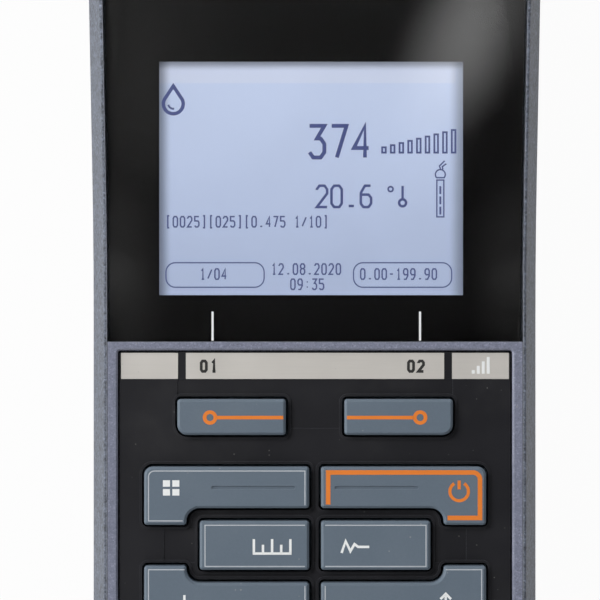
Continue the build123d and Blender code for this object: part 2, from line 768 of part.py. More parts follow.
def key_cap(name, face):
    """Key cap with bevelled face, retaining flange and stem."""
    flange_top = POCKET_Z - FLANGE_CLEARANCE
    flange_low = flange_top - FLANGE_THICKNESS
    cap = slab(face, flange_top, KEY_RISE)
    cap = chamfer(cap.faces().sort_by(Axis.Z)[-1].edges(), KEY_BEVEL)
    if name in ("mode_key", "power_key", "store_key", "recall_key"):
        cap -= tactile_groove(face, -1 if face.center().X < 0 else 1)
    cap += slab(offset(face, FLANGE_REACH), flange_low, flange_top)
    x, y = stem_place(face)
    cap += Pos(x, y, (STEM_Z + flange_low) / 2) * Box(STEM_WIDTH, STEM_WIDTH, STEM_LENGTH)
    return seat(cap)


def tactile_groove(face, side):
    """Fine groove along the middle of a wide key's bar."""
    box = face.bounding_box()
    in_upper_row = box.max.Y > -UPPER_TOP - BAR_HEIGHT / 2
    y = box.max.Y - BAR_HEIGHT / 2 if in_upper_row else box.min.Y + BAR_HEIGHT / 2
    x = side * (HALF_GAP + GROOVE_START + GROOVE_LENGTH / 2)
    slot = SlotOverall(GROOVE_LENGTH, GROOVE_WIDTH)
    return slab(Pos(x, y) * slot, KEY_RISE - GROOVE_DEPTH, KEY_RISE + 1)


def stem_place(face):
    """Place of a key's stem, on the outline's centre of area."""
    centre = face.center()
    return centre.X, centre.Y


def dome_mat(outlines):
    """Silicone mat with one dome under each key stem."""
    base_top = MAT_Z + MAT_THICKNESS
    sheet = frame_opening(PANEL_LEDGE - MAT_LAP)
    mat = slab(sheet, MAT_Z, base_top)
    mat += slab(sheet - frame_opening(PANEL_LEDGE - MAT_LAP + MAT_RIM), base_top, FLOOR_Z)
    for x, y in board_bosses():
        mat -= rod(x, y, BOSS_RADIUS + MAT_BOSS_GAP, MAT_Z, FLOOR_Z)
    for x, y in [stem_place(face) for face in outlines.values()]:
        dome = Cone(DOME_RADIUS, DOME_TOP_RADIUS, DOME_HEIGHT)
        mat += Pos(x, y, base_top + DOME_HEIGHT / 2) * dome
        mat -= rod(x, y, DOME_TOP_RADIUS - 0.6, MAT_Z, base_top + DOME_HEIGHT / 2)
    return seat(mat)


def keypad_board():
    """Circuit board under the dome mat."""
    half = board_bosses()[0][0] + BOSS_RADIUS - BOARD_EDGE_GAP
    box = frame_opening(PANEL_LEDGE - MAT_LAP).bounding_box()
    board = slab(rect(-half, box.min.Y, half, box.max.Y), KEY_BOARD_Z, MAT_Z)
    for x, y in board_bosses():
        board -= rod(x, y, SMALL_SCREW_RADIUS + FIT, KEY_BOARD_Z, MAT_Z)
    return seat(board)


def small_screws(places, board_low):
    """Small pan-head screws that hold a board to its bosses."""
    screws = []
    length = BOARD_THICKNESS + SMALL_SCREW_BITE
    for x, y in places:
        head = rod(x, y, SMALL_HEAD_RADIUS, board_low - SMALL_HEAD_HEIGHT, board_low)
        screws.append(seat(head + rod(x, y, SMALL_SCREW_RADIUS, board_low, board_low + length)))
    return joined(screws)


def main_board():
    """Main circuit board behind the display."""
    half = side_x(MAIN_BOARD_START, 0) - 2 * WALL - BOARD_EDGE_GAP
    face = rect(-half, MAIN_BOARD_START, half, MAIN_BOARD_END)
    for x, y in both_sides(HOUSING_SCREWS[:2]):
        face -= Pos(x, y) * Circle(FRONT_BOSS_RADIUS + BOARD_EDGE_GAP)
    board = slab(face, MAIN_BOARD_Z, HOLDER_Z)
    for x, y in main_bosses():
        board -= rod(x, y, SMALL_SCREW_RADIUS + FIT, MAIN_BOARD_Z, HOLDER_Z)
    return seat(board)


def under_main_board(solid_height):
    """Height band of a part mounted on the underside of the main board."""
    return MAIN_BOARD_Z - solid_height, MAIN_BOARD_Z


def shield_can():
    """Tin can over the measuring circuits, hollow and open to the board."""
    width, length, height = CAN_SIZE
    low, top = under_main_board(height)
    can = slab(Pos(CAN_X, CAN_Y) * RectangleRounded(width, length, CAN_CORNER), low, top)
    hollow = Rectangle(width - 2 * CAN_WALL, length - 2 * CAN_WALL)
    can -= slab(Pos(CAN_X, CAN_Y) * hollow, low + CAN_WALL, top)
    return seat(can)


def processor_chip():
    """Processor on the main board."""
    width, length, height = CHIP_SIZE
    low, top = under_main_board(height)
    return seat(slab(Pos(RIGHT_PARTS_X, CHIP_Y) * Rectangle(width, length), low, top))


def coin_cell():
    """Clock's coin cell."""
    low, top = under_main_board(COIN_HEIGHT)
    return seat(rod(RIGHT_PARTS_X, COIN_Y, COIN_RADIUS, low, top))


def buzzer():
    """Round buzzer with its sound hole."""
    low, top = under_main_board(BUZZER_HEIGHT)
    case = rod(RIGHT_PARTS_X, BUZZER_Y, BUZZER_RADIUS, low, top)
    return seat(case - rod(RIGHT_PARTS_X, BUZZER_Y, BUZZER_HOLE, low, low + BUZZER_HOLE_DEPTH))


def ribbon(points):
    """Flat flexible cable that follows a path in the centre plane, given as (y, z)."""
    path = Polyline([(0, y, z) for y, z in points])
    flat = trace_strip(path)
    return seat(flat)


def trace_strip(path):
    """Thin strip swept along a path in the y-z plane."""
    face = Plane.YZ * trace(Plane.YZ.to_local_coords(path), RIBBON_THICKNESS)
    return extrude(face, amount=RIBBON_WIDTH / 2, both=True)


def keypad_ribbon():
    """Flat cable from the main board to the keypad board."""
    half = RIBBON_THICKNESS / 2
    main = MAIN_BOARD_Z - half
    board = KEY_BOARD_Z - half
    start = MAIN_BOARD_START + RIBBON_LAP
    edge = MAIN_BOARD_START - RIBBON_LEAD
    foot = edge - RIBBON_SLANT
    return ribbon([(start, main), (edge, main), (foot, board), (foot - RIBBON_LAP, board)])


def port_ribbon():
    """Flat cable from the main board to the port board."""
    half = RIBBON_THICKNESS / 2
    main = MAIN_BOARD_Z - half
    wall = PORT_BOARD_Y - half
    bend = wall - PORT_RIBBON_BEND
    foot = main - PORT_RIBBON_DROP
    end = foot - PORT_RIBBON_BEND
    return ribbon([(bend - PORT_RIBBON_LAP, main), (bend, main), (wall, foot), (wall, end)])


def port_board():
    """Upright circuit board behind the sockets."""
    half = PANEL_HALF_WIDTH + PORT_BOARD_LAP
    low = -(FOOT_DEPTH + SLOPE * (GRIP_LENGTH + PORT_BOARD_Y)) + BACK_WALL / cos(TILT) + BOARD_EDGE_GAP
    top = REAR_TOP - PORT_BOARD_LAP
    board = block(-half, PORT_BOARD_Y, low, half, PORT_BOARD_Y + BOARD_THICKNESS, top)
    end = PORT_BOARD_Y + BOARD_THICKNESS
    for x, z in pin_places():
        board -= along_y(x, z, PIN_RADIUS + FIT, PORT_BOARD_Y, end)
    return seat(board)


def pin_places():
    """Places of all contact pins of the three sockets, in x and z."""
    places = []
    for x in socket_places():
        for step in range(PIN_COUNT):
            angle = radians(360 / PIN_COUNT * (step + 0.5))
            places.append((x + PIN_CIRCLE * cos(angle), SOCKET_Z + PIN_CIRCLE * sin(angle)))
    return places


def socket_shell(x):
    """Metal shell of a sensor socket: flange, collar, barrel, bore and keyway."""
    flange_end = SOCKET_PANEL_Y + SOCKET_FLANGE_HEIGHT
    mouth = flange_end + SOCKET_COLLAR_HEIGHT
    barrel_end = mouth - SOCKET_BORE_DEPTH - INSERT_THICKNESS
    shell = along_y(x, SOCKET_Z, SOCKET_FLANGE, SOCKET_PANEL_Y, flange_end)
    shell += along_y(x, SOCKET_Z, SOCKET_COLLAR, flange_end, mouth)
    shell += along_y(x, SOCKET_Z, SOCKET_BARREL, barrel_end, SOCKET_PANEL_Y)
    shell = chamfer(shell.edges().filter_by(GeomType.CIRCLE).sort_by(Axis.Y)[-1], SOCKET_EDGE)
    stop = mouth - PLUG_DEPTH
    shell -= along_y(x, SOCKET_Z, SOCKET_BORE, stop, mouth)
    shell -= along_y(x, SOCKET_Z, SOCKET_BORE + RELIEF_DEPTH, stop - RELIEF_WIDTH, stop)
    shell -= along_y(x, SOCKET_Z, INSERT_SEAT, barrel_end, stop)
    groove_end = SOCKET_PANEL_Y + RING_HEIGHT
    groove = along_y(x, SOCKET_Z, RING_RADIUS + FIT, SOCKET_PANEL_Y, groove_end)
    groove -= along_y(x, SOCKET_Z, SOCKET_BARREL, SOCKET_PANEL_Y, groove_end)
    return seat(shell - groove)


def socket_inserts():
    """Insulating bodies that carry the pins."""
    mouth = SOCKET_PANEL_Y + SOCKET_FLANGE_HEIGHT + SOCKET_COLLAR_HEIGHT
    face = mouth - SOCKET_BORE_DEPTH
    inserts = []
    for index, x in enumerate(socket_places()):
        insert = along_y(x, SOCKET_Z, INSERT_SEAT - FIT, face - INSERT_THICKNESS, face)
        for px, pz in pin_places()[PIN_COUNT * index:PIN_COUNT * (index + 1)]:
            insert -= along_y(px, pz, PIN_RADIUS + FIT, face - INSERT_THICKNESS, face)
        inserts.append(seat(insert))
    return joined(inserts)


def socket_pins():
    """Contact pins that run from the port board into the sockets."""
    mouth = SOCKET_PANEL_Y + SOCKET_FLANGE_HEIGHT + SOCKET_COLLAR_HEIGHT
    tip = mouth - SOCKET_BORE_DEPTH + PIN_REACH
    return joined([seat(along_y(x, z, PIN_RADIUS, PORT_BOARD_Y, tip)) for x, z in pin_places()])


def socket_nuts():
    """Nuts that clamp the sockets from inside."""
    nuts = []
    end = SOCKET_PANEL_Y - PANEL_WALL
    for x in socket_places():
        hexagon = Plane.XZ * RegularPolygon(NUT_RADIUS, 6, major_radius=False, rotation=30)
        nut = Pos(x, end, SOCKET_Z) * extrude(hexagon, amount=NUT_HEIGHT)
        nuts.append(seat(nut - along_y(x, SOCKET_Z, SOCKET_BARREL + FIT, end - NUT_HEIGHT, end)))
    return joined(nuts)


def socket_seals():
    """Rubber rings under the socket flanges."""
    seals = []
    for x in socket_places():
        end = SOCKET_PANEL_Y + RING_HEIGHT
        ring = along_y(x, SOCKET_Z, RING_RADIUS, SOCKET_PANEL_Y, end)
        ring -= along_y(x, SOCKET_Z, SOCKET_BARREL + SOCKET_HOLE_GAP, SOCKET_PANEL_Y, end)
        seals.append(seat(ring))
    return joined(seals)


def usb_block(x, size):
    """Outer block of a USB receptacle, from the port board to just inside the port opening."""
    width, height = size
    mouth = SOCKET_PANEL_Y - USB_SET_BACK
    board = PORT_BOARD_Y + BOARD_THICKNESS
    return Pos(x, (mouth + board) / 2, PORT_Z) * Box(width, mouth - board, height)


def usb_a_receptacle():
    """USB-A receptacle with its tongue."""
    width, height = USB_A_SIZE
    mouth = SOCKET_PANEL_Y - USB_SET_BACK
    cut_w, cut_h = width - 2 * USB_WALL, height - 2 * USB_WALL
    body = usb_block(USB_A_X, USB_A_SIZE)
    body -= Pos(USB_A_X, mouth, PORT_Z) * Box(cut_w, 2 * USB_WELL, cut_h)
    tongue = USB_WELL - USB_TONGUE_SET_BACK
    tongue_w, tongue_h = USB_A_TONGUE
    place = Pos(USB_A_X, mouth - USB_WELL + tongue / 2, PORT_Z + USB_A_TONGUE_RISE)
    body += place * Box(tongue_w, tongue, tongue_h)
    return seat(body)


def usb_b_receptacle():
    """USB-B receptacle with its tongue."""
    mouth = SOCKET_PANEL_Y - USB_SET_BACK
    body = usb_block(USB_B_X, USB_B_SIZE)
    upper_corners = Rectangle(*USB_B_MOUTH).vertices().group_by(Axis.Y)[-1]
    well = Plane.XZ * chamfer(upper_corners, USB_B_MOUTH_CORNER)
    body -= Pos(USB_B_X, mouth, PORT_Z) * extrude(well, amount=USB_WELL)
    tongue = USB_WELL - USB_TONGUE_SET_BACK
    tongue_w, tongue_h = USB_B_TONGUE
    place = Pos(USB_B_X, mouth - USB_WELL + tongue / 2, PORT_Z - USB_B_TONGUE_DROP)
    body += place * Box(tongue_w, tongue, tongue_h)
    return seat(body)


def cover_rect():
    """Width and height of the port cover's plate."""
    width, height = PORT_OPENING
    return width + 2 * COVER_MARGIN, height + 2 * COVER_MARGIN


def port_cover():
    """Rubber flap over the USB ports, with a rim that plugs the opening and a finger tab."""
    width, height = cover_rect()
    face = Plane.XZ * RectangleRounded(width, height, COVER_CORNER)
    start = SOCKET_PANEL_Y + COVER_FACE_GAP
    plate = Pos(0, start + COVER_THICKNESS, PORT_Z) * extrude(face, amount=COVER_THICKNESS)
    plate = fillet(plate.faces().sort_by(Axis.Y)[-1].edges(), COVER_EDGE)
    plug_w = PORT_OPENING[0] - 2 * COVER_PLUG_GAP
    plug_h = PORT_OPENING[1] - 2 * COVER_PLUG_GAP
    plug = Plane.XZ * (
        RectangleRounded(plug_w, plug_h, COVER_CORNER / 2)
        - Rectangle(plug_w - 2 * COVER_PLUG_WALL, plug_h - 2 * COVER_PLUG_WALL)
    )
    plate += Pos(0, start, PORT_Z) * extrude(plug, amount=COVER_PLUG_DEPTH)
    for step in range(COVER_GROOVES):
        z = PORT_Z + height / 2 - COVER_GROOVE_START - COVER_GROOVE_PITCH * step
        groove = Box(COVER_GROOVE_WIDTH, 2 * COVER_GROOVE_DEPTH, 2 * COVER_GROOVE_DEPTH)
        plate -= Pos(0, start + COVER_THICKNESS, z) * groove
    return seat(plate)


def port_cover_hinge():
    """Strip of the rubber cover that is bonded to the shell below the flap."""
    top = PORT_Z - cover_rect()[1] / 2 - HINGE_STRIP_GAP
    half = HINGE_STRIP_LENGTH / 2
    start = SOCKET_PANEL_Y
    end = start + COVER_FACE_GAP + COVER_THICKNESS
    strip = block(-half, start, top - HINGE_STRIP_HEIGHT, half, end, top)
    return seat(strip)


def battery_lid():
    """Lid of the battery bay with its finger grooves and screw seats."""
    lid = slab(lid_outline(0), LID_DROP, LID_TOP)
    lid = chamfer(lid.faces().sort_by(Axis.Z)[0].edges(), LID_EDGE)
    for y in lid_screw_places():
        lid -= rod(0, y, LID_SCREW_RADIUS + LID_SCREW_GAP, LID_DROP, LID_TOP)
        lid -= rod(0, y, LID_HEAD_RADIUS + LID_SCREW_GAP, LID_DROP, LID_DROP + LID_HEAD_HEIGHT)
    for index in range(GRIP_GROOVES):
        y = BAY_CENTRE - BAY_LENGTH / 2 + GRIP_GROOVE_START + GRIP_GROOVE_PITCH * index
        groove = SlotOverall(GRIP_GROOVE_LENGTH - GRIP_GROOVE_TAPER * index, GRIP_GROOVE_WIDTH)
        lid -= slab(Pos(0, y) * groove, LID_DROP - 1, LID_DROP + GRIP_GROOVE_DEPTH)
    return lid


def lid_seal():
    """Rubber seal on the lid's inner face."""
    inner_x = BAY_WIDTH / 2 + LID_SEAL_GAP
    inner_y = BAY_LENGTH / 2 + LID_SEAL_GAP
    width = LID_SEAL_WIDTH
    ring = Rectangle(2 * (inner_x + width), 2 * (inner_y + width)) - Rectangle(2 * inner_x, 2 * inner_y)
    return slab(Pos(0, BAY_CENTRE) * ring, LID_TOP, LEDGE_Z)


def lid_screw(y):
    """Slotted screw of the battery lid."""
    low = LID_DROP
    seat_z = low + LID_HEAD_HEIGHT
    screw = rod(0, y, LID_HEAD_RADIUS, low, seat_z)
    screw = chamfer(screw.faces().sort_by(Axis.Z)[0].edges(), LID_HEAD_EDGE)
    screw -= Pos(0, y, low) * Box(2 * LID_HEAD_RADIUS + 1, LID_SLOT_WIDTH, 2 * LID_SLOT_DEPTH)
    return screw + rod(0, y, LID_SCREW_RADIUS, seat_z, LEDGE_Z + LID_SCREW_LENGTH - 2 * BAY_WALL)


def lid_inserts():
    """Brass inserts for the lid screws."""
    inserts = []
    top = LEDGE_Z + LID_SCREW_LENGTH - BAY_WALL
    for y in lid_screw_places():
        insert = rod(0, y, LID_INSERT_RADIUS, LEDGE_Z, top)
        inserts.append(insert - rod(0, y, LID_SCREW_RADIUS + LID_SCREW_GAP, LEDGE_Z, top))
    return joined(inserts)


def cell_lanes():
    """Lane of each cell: its x and the way its plus end points."""
    first = -(CELL_COUNT - 1) / 2 * CELL_PITCH
    return [(first + CELL_PITCH * lane, 1 if lane % 2 else -1) for lane in range(CELL_COUNT)]


def battery_cells():
    """Four cells side by side, every second one turned round."""
    cells = []
    for x, way in cell_lanes():
        plus = BAY_CENTRE + way * (BAY_LENGTH / 2 - CONTACT_THICKNESS)
        neck = plus - way * CELL_NUB_LENGTH
        minus = neck - way * CELL_LENGTH
        cell = along_y(x, CELL_Z, CELL_RADIUS, min(neck, minus), max(neck, minus))
        cells.append(cell + along_y(x, CELL_Z, CELL_NUB_RADIUS, min(plus, neck), max(plus, neck)))
    return joined(cells)


def battery_contacts():
    """Flat contacts at the plus ends and bent leaf contacts at the minus ends."""
    contacts = []
    half = CONTACT_WIDTH / 2
    for x, way in cell_lanes():
        end = BAY_CENTRE + way * BAY_LENGTH / 2
        plate = (end, end - way * CONTACT_THICKNESS)
        contacts.append(block(x - half, min(plate), CELL_Z - half, x + half, max(plate), CELL_Z + half))
        minus_end = BAY_CENTRE - way * BAY_LENGTH / 2
        reach = BAY_LENGTH - CONTACT_THICKNESS - CELL_NUB_LENGTH - CELL_LENGTH
        wall = way * CONTACT_THICKNESS
        leaf = Polyline(
            (0, -half),
            (0, half),
            (wall, half),
            (way * reach, LEAF_TIP),
            (way * reach, -LEAF_TIP),
            (way * reach - wall, -LEAF_TIP),
            (way * reach - wall, LEAF_TIP / 2),
            (wall, half - 2 * CONTACT_THICKNESS),
            (wall, -half),
            close=True,
        )
        face = Plane.YZ * make_face(leaf.edges())
        bent = extrude(face, amount=half, both=True)
        contacts.append(Pos(x, minus_end, CELL_Z) * bent)
    return joined(contacts)


def build_parts():
    """All nodes by name, in their places in the resting meter."""
    outlines = key_outlines()
    parts = {
        "front_shell": front_shell(),
        "rear_shell": rear_shell(),
        "housing_seal": housing_seal(),
        "housing_screws": housing_screws(),
        "screw_inserts": screw_inserts(),
        "display_window": display_window(),
        "window_mask": window_mask(),
        "window_gasket": window_gasket(),
        "lcd_glass": lcd_glass(),
        "backlight_guide": backlight_guide(),
        "lcd_holder": lcd_holder(),
        "keypad_frame": keypad_frame(),
        "keypad_panel": keypad_panel(outlines),
        "dome_mat": dome_mat(outlines),
        "keypad_board": keypad_board(),
        "keypad_board_screws": small_screws(board_bosses(), KEY_BOARD_Z),
        "main_board": main_board(),
        "main_board_screws": small_screws(main_bosses(), MAIN_BOARD_Z),
        "shield_can": shield_can(),
        "processor_chip": processor_chip(),
        "coin_cell": coin_cell(),
        "buzzer": buzzer(),
        "keypad_ribbon": keypad_ribbon(),
        "port_ribbon": port_ribbon(),
        "port_board": port_board(),
        "socket_inserts": socket_inserts(),
        "socket_pins": socket_pins(),
        "socket_nuts": socket_nuts(),
        "socket_seals": socket_seals(),
        "usb_a_receptacle": usb_a_receptacle(),
        "usb_b_receptacle": usb_b_receptacle(),
        "port_cover": port_cover(),
        "port_cover_hinge": port_cover_hinge(),
        "battery_lid": battery_lid(),
        "lid_seal": lid_seal(),
        "lid_inserts": lid_inserts(),
        "battery_cells": battery_cells(),
        "battery_contacts": battery_contacts(),
    }
    for name, face in strip_outlines().items():
        parts[name] = label_strip(face)
    for name, face in outlines.items():
        parts[name] = key_cap(name, face)
    for name, x in zip(("left", "middle", "right"), socket_places()):
        parts[f"socket_shell_{name}"] = socket_shell(x)
    for name, y in zip(("lower", "upper"), lid_screw_places()):
        parts[f"lid_screw_{name}"] = lid_screw(y)
    return parts


def main():
    """Write every node, with the origin under the middle of the whole meter."""
    os.makedirs("parts", exist_ok=True)
    parts = build_parts()
    boxes = [shape.bounding_box() for shape in parts.values()]
    middle = (min(box.min.Y for box in boxes) + max(box.max.Y for box in boxes)) / 2
    print(f"{len(parts)} nodes, tilt {degrees(TILT):.3f} degrees, shift {-middle:.4f} mm")
    for name, shape in parts.items():
        export_step(Pos(0, -middle, 0) * shape, f"parts/{name}.step")


main()
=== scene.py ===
"""Portable multiparameter meter: finishes, printed marks, display read-out and studio.

Lengths are in millimetres on the meter's face, and the blender objects are in metres in the row frame.
"""
import json
import logging
from dataclasses import dataclass, field, fields, replace
from enum import Enum
from math import cos, radians, sin, tan
from typing import ClassVar

import bpy
from mathutils import Matrix, Vector


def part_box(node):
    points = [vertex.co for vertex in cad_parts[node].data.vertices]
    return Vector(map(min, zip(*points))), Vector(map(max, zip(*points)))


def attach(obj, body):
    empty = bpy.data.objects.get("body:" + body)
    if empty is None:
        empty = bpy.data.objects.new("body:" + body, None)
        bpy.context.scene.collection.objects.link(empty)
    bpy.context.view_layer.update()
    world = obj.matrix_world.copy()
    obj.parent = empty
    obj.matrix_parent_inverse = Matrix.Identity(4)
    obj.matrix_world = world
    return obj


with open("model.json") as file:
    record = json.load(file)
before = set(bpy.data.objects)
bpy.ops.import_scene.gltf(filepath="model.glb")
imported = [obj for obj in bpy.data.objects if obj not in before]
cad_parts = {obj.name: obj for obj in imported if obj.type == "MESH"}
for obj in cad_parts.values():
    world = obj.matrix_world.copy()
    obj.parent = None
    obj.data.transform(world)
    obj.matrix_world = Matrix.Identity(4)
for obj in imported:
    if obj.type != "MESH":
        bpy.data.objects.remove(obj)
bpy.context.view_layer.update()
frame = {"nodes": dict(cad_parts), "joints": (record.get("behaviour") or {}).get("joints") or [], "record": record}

LOG = logging.getLogger("meter")
MM = 0.001
HOUSING = "housing"
SCREEN_LEVELS = 255
NOISE_MIDDLE = 0.5
COAT_ROUGHNESS = 0.08
TINY = 1e-6
MADE: dict[str, bpy.types.Material] = {}

Colour = tuple[float, float, float]
Point = tuple[float, float]
Socket = bpy.types.NodeSocket
Sockets = dict[str, Socket]
NodeInput = Socket | float | tuple


def from_screen(red: float, green: float, blue: float) -> Colour:
    """Linear colour of a colour given in screen values from 0 to 255."""
    return tuple(_linear(value / SCREEN_LEVELS) for value in (red, green, blue))


def _linear(value: float) -> float:
    """Linear share of one screen value from 0 to 1, by the standard curve."""
    return value / 12.92 if value <= 0.04045 else ((value + 0.055) / 1.055) ** 2.4


@dataclass(frozen=True)
class Face:
    """Frame of the sloping front: x to the right, y up the display, z out of the front.

    The seam between window and keypad is y = 0, and the top of the rim is z = 0.
    """

    normal: Vector
    seam: Vector

    @classmethod
    def from_model(cls) -> "Face":
        """Face frame read from the key presses and from the place of the keypad frame.

        Returns:
            The frame of the front.
        """
        press = next(joint for joint in frame["joints"] if joint["name"] == "enter_key_press")
        normal = -Vector(press["axis"]).normalized()
        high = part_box("keypad_frame")[1]
        half_seam = 0.05 * MM
        thickness = 3.4 * MM
        seam_y = high.y + half_seam * normal.z + thickness * normal.y
        seam_z = high.z - half_seam * normal.y
        return cls(normal=normal, seam=Vector((0.0, seam_y, seam_z)))

    def place(self, x: float, y: float, z: float) -> Vector:
        """Row-frame place in metres of a point given in millimetres on the face."""
        up = self.up()
        return self.seam + Vector((x, 0, 0)) * MM + up * (y * MM) + self.normal * (z * MM)

    def up(self) -> Vector:
        """Direction up the display."""
        return self.normal.cross(Vector((1, 0, 0))).normalized()

    def y_in_row(self, y: float, z: float) -> float:
        """Row-frame y in metres of a line across the face at that height and depth."""
        return self.place(0, y, z).y


class Graph:
    """Node tree with short calls that add nodes and join them."""

    def __init__(self, tree: bpy.types.NodeTree) -> None:
        """Keep the tree to which the nodes are added."""
        self.tree = tree

    def add(self, kind: str, **settings: object) -> bpy.types.Node:
        """Add a node.

        Args:
            kind: type name of the node.
            settings: properties set on it.

        Returns:
            The new node.
        """
        node = self.tree.nodes.new(kind)
        for name, value in settings.items():
            setattr(node, name, value)
        return node

    def feed(self, socket: Socket, value: NodeInput) -> None:
        """Link a socket to another, or set it to a plain value.

        Args:
            socket: the socket to feed.
            value: the socket or plain value that it gets.
        """
        if isinstance(value, Socket):
            self.tree.links.new(value, socket)
        elif isinstance(value, tuple) and len(value) == 3 and socket.type == "RGBA":
            socket.default_value = (*value, 1.0)
        else:
            socket.default_value = value

    def math(self, operation: str, first: NodeInput, second: NodeInput = 0.0) -> Socket:
        """Result of a math node on one or two values.

        Args:
            operation: name of the operation.
            first: first value.
            second: second value, where the operation has one.

        Returns:
            Socket with the result.
        """
        node = self.add("ShaderNodeMath", operation=operation)
        self.feed(node.inputs[0], first)
        self.feed(node.inputs[1], second)
        return node.outputs[0]

    def span(self, value: NodeInput, low: float, high: float, start: NodeInput = 0.0,
             end: NodeInput = 1.0) -> Socket:
        """Smooth step of a value.

        Args:
            value: the value read.
            low: where the step begins.
            high: where it ends.
            start: result before the step.
            end: result after it.

        Returns:
            Socket with the result.
        """
        node = self.add("ShaderNodeMapRange", interpolation_type="SMOOTHSTEP")
        for socket, given in zip(node.inputs, (value, low, high, start, end)):
            self.feed(socket, given)
        return node.outputs[0]

    def mix(self, share: NodeInput, first: NodeInput, second: NodeInput) -> Socket:
        """Mix of two colours by a share.

        Args:
            share: share of the second colour, from 0 to 1.
            first: colour at share 0.
            second: colour at share 1.

        Returns:
            Socket with the mixed colour.
        """
        node = self.add("ShaderNodeMix", data_type="RGBA")
        colours = [socket for socket in node.inputs if socket.type == "RGBA"]
        self.feed(node.inputs["Factor"], share)
        self.feed(colours[0], first)
        self.feed(colours[1], second)
        return next(socket for socket in node.outputs if socket.type == "RGBA")

    def scaled(self, colour: NodeInput, factor: NodeInput) -> Socket:
        """Colour times a factor.

        Args:
            colour: the colour.
            factor: what it is multiplied by.

        Returns:
            Socket with the scaled colour.
        """
        node = self.add("ShaderNodeVectorMath", operation="SCALE")
        self.feed(node.inputs[0], colour)
        self.feed(node.inputs["Scale"], factor)
        return node.outputs[0]

    def coordinates(self, stretch: tuple[float, float, float] = (1.0, 1.0, 1.0)) -> Socket:
        """Place on the piece in millimetres, divided along each axis by the stretch.

        Args:
            stretch: how far the pattern is drawn out along each axis.

        Returns:
            Socket with the place.
        """
        place = self.add("ShaderNodeTexCoord").outputs["Object"]
        node = self.add("ShaderNodeVectorMath", operation="MULTIPLY")
        self.feed(node.inputs[0], place)
        node.inputs[1].default_value = tuple(1.0 / (MM * part) for part in stretch)
        return node.outputs[0]

    def noise(self, place: NodeInput, size: NodeInput, detail: float = 2.0,
              roughness: float = 0.5) -> Socket:
        """Noise from 0 to 1 with features of the given size in millimetres.

        Args:
            place: where the noise is read.
            size: size of its features in millimetres.
            detail: number of finer layers.
            roughness: strength of the finer layers.

        Returns:
            Socket with the noise.
        """
        node = self.add("ShaderNodeTexNoise")
        self.feed(node.inputs["Vector"], place)
        self.feed(node.inputs["Scale"], self.math("DIVIDE", 1.0, size))
        node.inputs["Detail"].default_value = detail
        node.inputs["Roughness"].default_value = roughness
        return node.outputs["Fac"]

    def cells(self, place: NodeInput, size: NodeInput) -> tuple[Socket, Socket]:
        """Distance and random value of cells of the given size in millimetres.

        Args:
            place: where the cells are read.
            size: size of a cell in millimetres.

        Returns:
            Sockets with the distance to the cell's point and with its random value.
        """
        node = self.add("ShaderNodeTexVoronoi")
        self.feed(node.inputs["Vector"], place)
        self.feed(node.inputs["Scale"], self.math("DIVIDE", 1.0, size))
        parts = self.add("ShaderNodeSeparateColor")
        self.feed(parts.inputs[0], node.outputs["Color"])
        return node.outputs["Distance"], parts.outputs[0]


@dataclass(frozen=True)
class Surface:
    """Colour, roughness and height in millimetres, as they pass from one effect to the next."""

    colour: NodeInput = (1.0, 1.0, 1.0)
    roughness: NodeInput = 0.5
    height: NodeInput = 0.0


SOCKETS = {"colour": "NodeSocketColor", "roughness": "NodeSocketFloat", "height": "NodeSocketFloat"}


@dataclass(frozen=True)
class Effect:
    """Base of the effects. Each is one shader node group, placed with the values of its fields."""

    changes: ClassVar[tuple[str, ...]] = ("colour", "roughness")

    def shape(self, graph: Graph, given: Surface, value: Sockets) -> Surface:
        """Nodes inside the group.

        Args:
            graph: the group's tree.
            given: surface that comes in.
            value: socket of each field, by name.

        Returns:
            The surface that goes out.
        """
        raise NotImplementedError

    def group(self) -> bpy.types.NodeTree:
        """The effect's node group, built on first use.

        Returns:
            The group.
        """
        title = type(self).__name__
        known = bpy.data.node_groups.get(title)
        if known:
            return known
        tree = bpy.data.node_groups.new(title, "ShaderNodeTree")
        for name in self.changes:
            tree.interface.new_socket(name, in_out="INPUT", socket_type=SOCKETS[name])
            tree.interface.new_socket(name, in_out="OUTPUT", socket_type=SOCKETS[name])
        for part in fields(self):
            is_colour = isinstance(getattr(self, part.name), tuple)
            kind = "NodeSocketColor" if is_colour else "NodeSocketFloat"
            tree.interface.new_socket(part.name, in_out="INPUT", socket_type=kind)
        graph = Graph(tree)
        start = graph.add("NodeGroupInput")
        end = graph.add("NodeGroupOutput")
        given = Surface(**{name: start.outputs[name] for name in self.changes})
        value = {part.name: start.outputs[part.name] for part in fields(self)}
        result = self.shape(graph, given, value)
        for name in self.changes:
            graph.feed(end.inputs[name], getattr(result, name))
        return tree

    def apply(self, graph: Graph, given: Surface) -> Surface:
        """The surface after this effect, in a material's tree.

        Args:
            graph: the material's tree.
            given: surface before the effect.

        Returns:
            The surface after it.
        """
        node = graph.add("ShaderNodeGroup")
        node.node_tree = self.group()
        for name in self.changes:
            graph.feed(node.inputs[name], getattr(given, name))
        for part in fields(self):
            graph.feed(node.inputs[part.name], getattr(self, part.name))
        return replace(given, **{name: node.outputs[name] for name in self.changes})


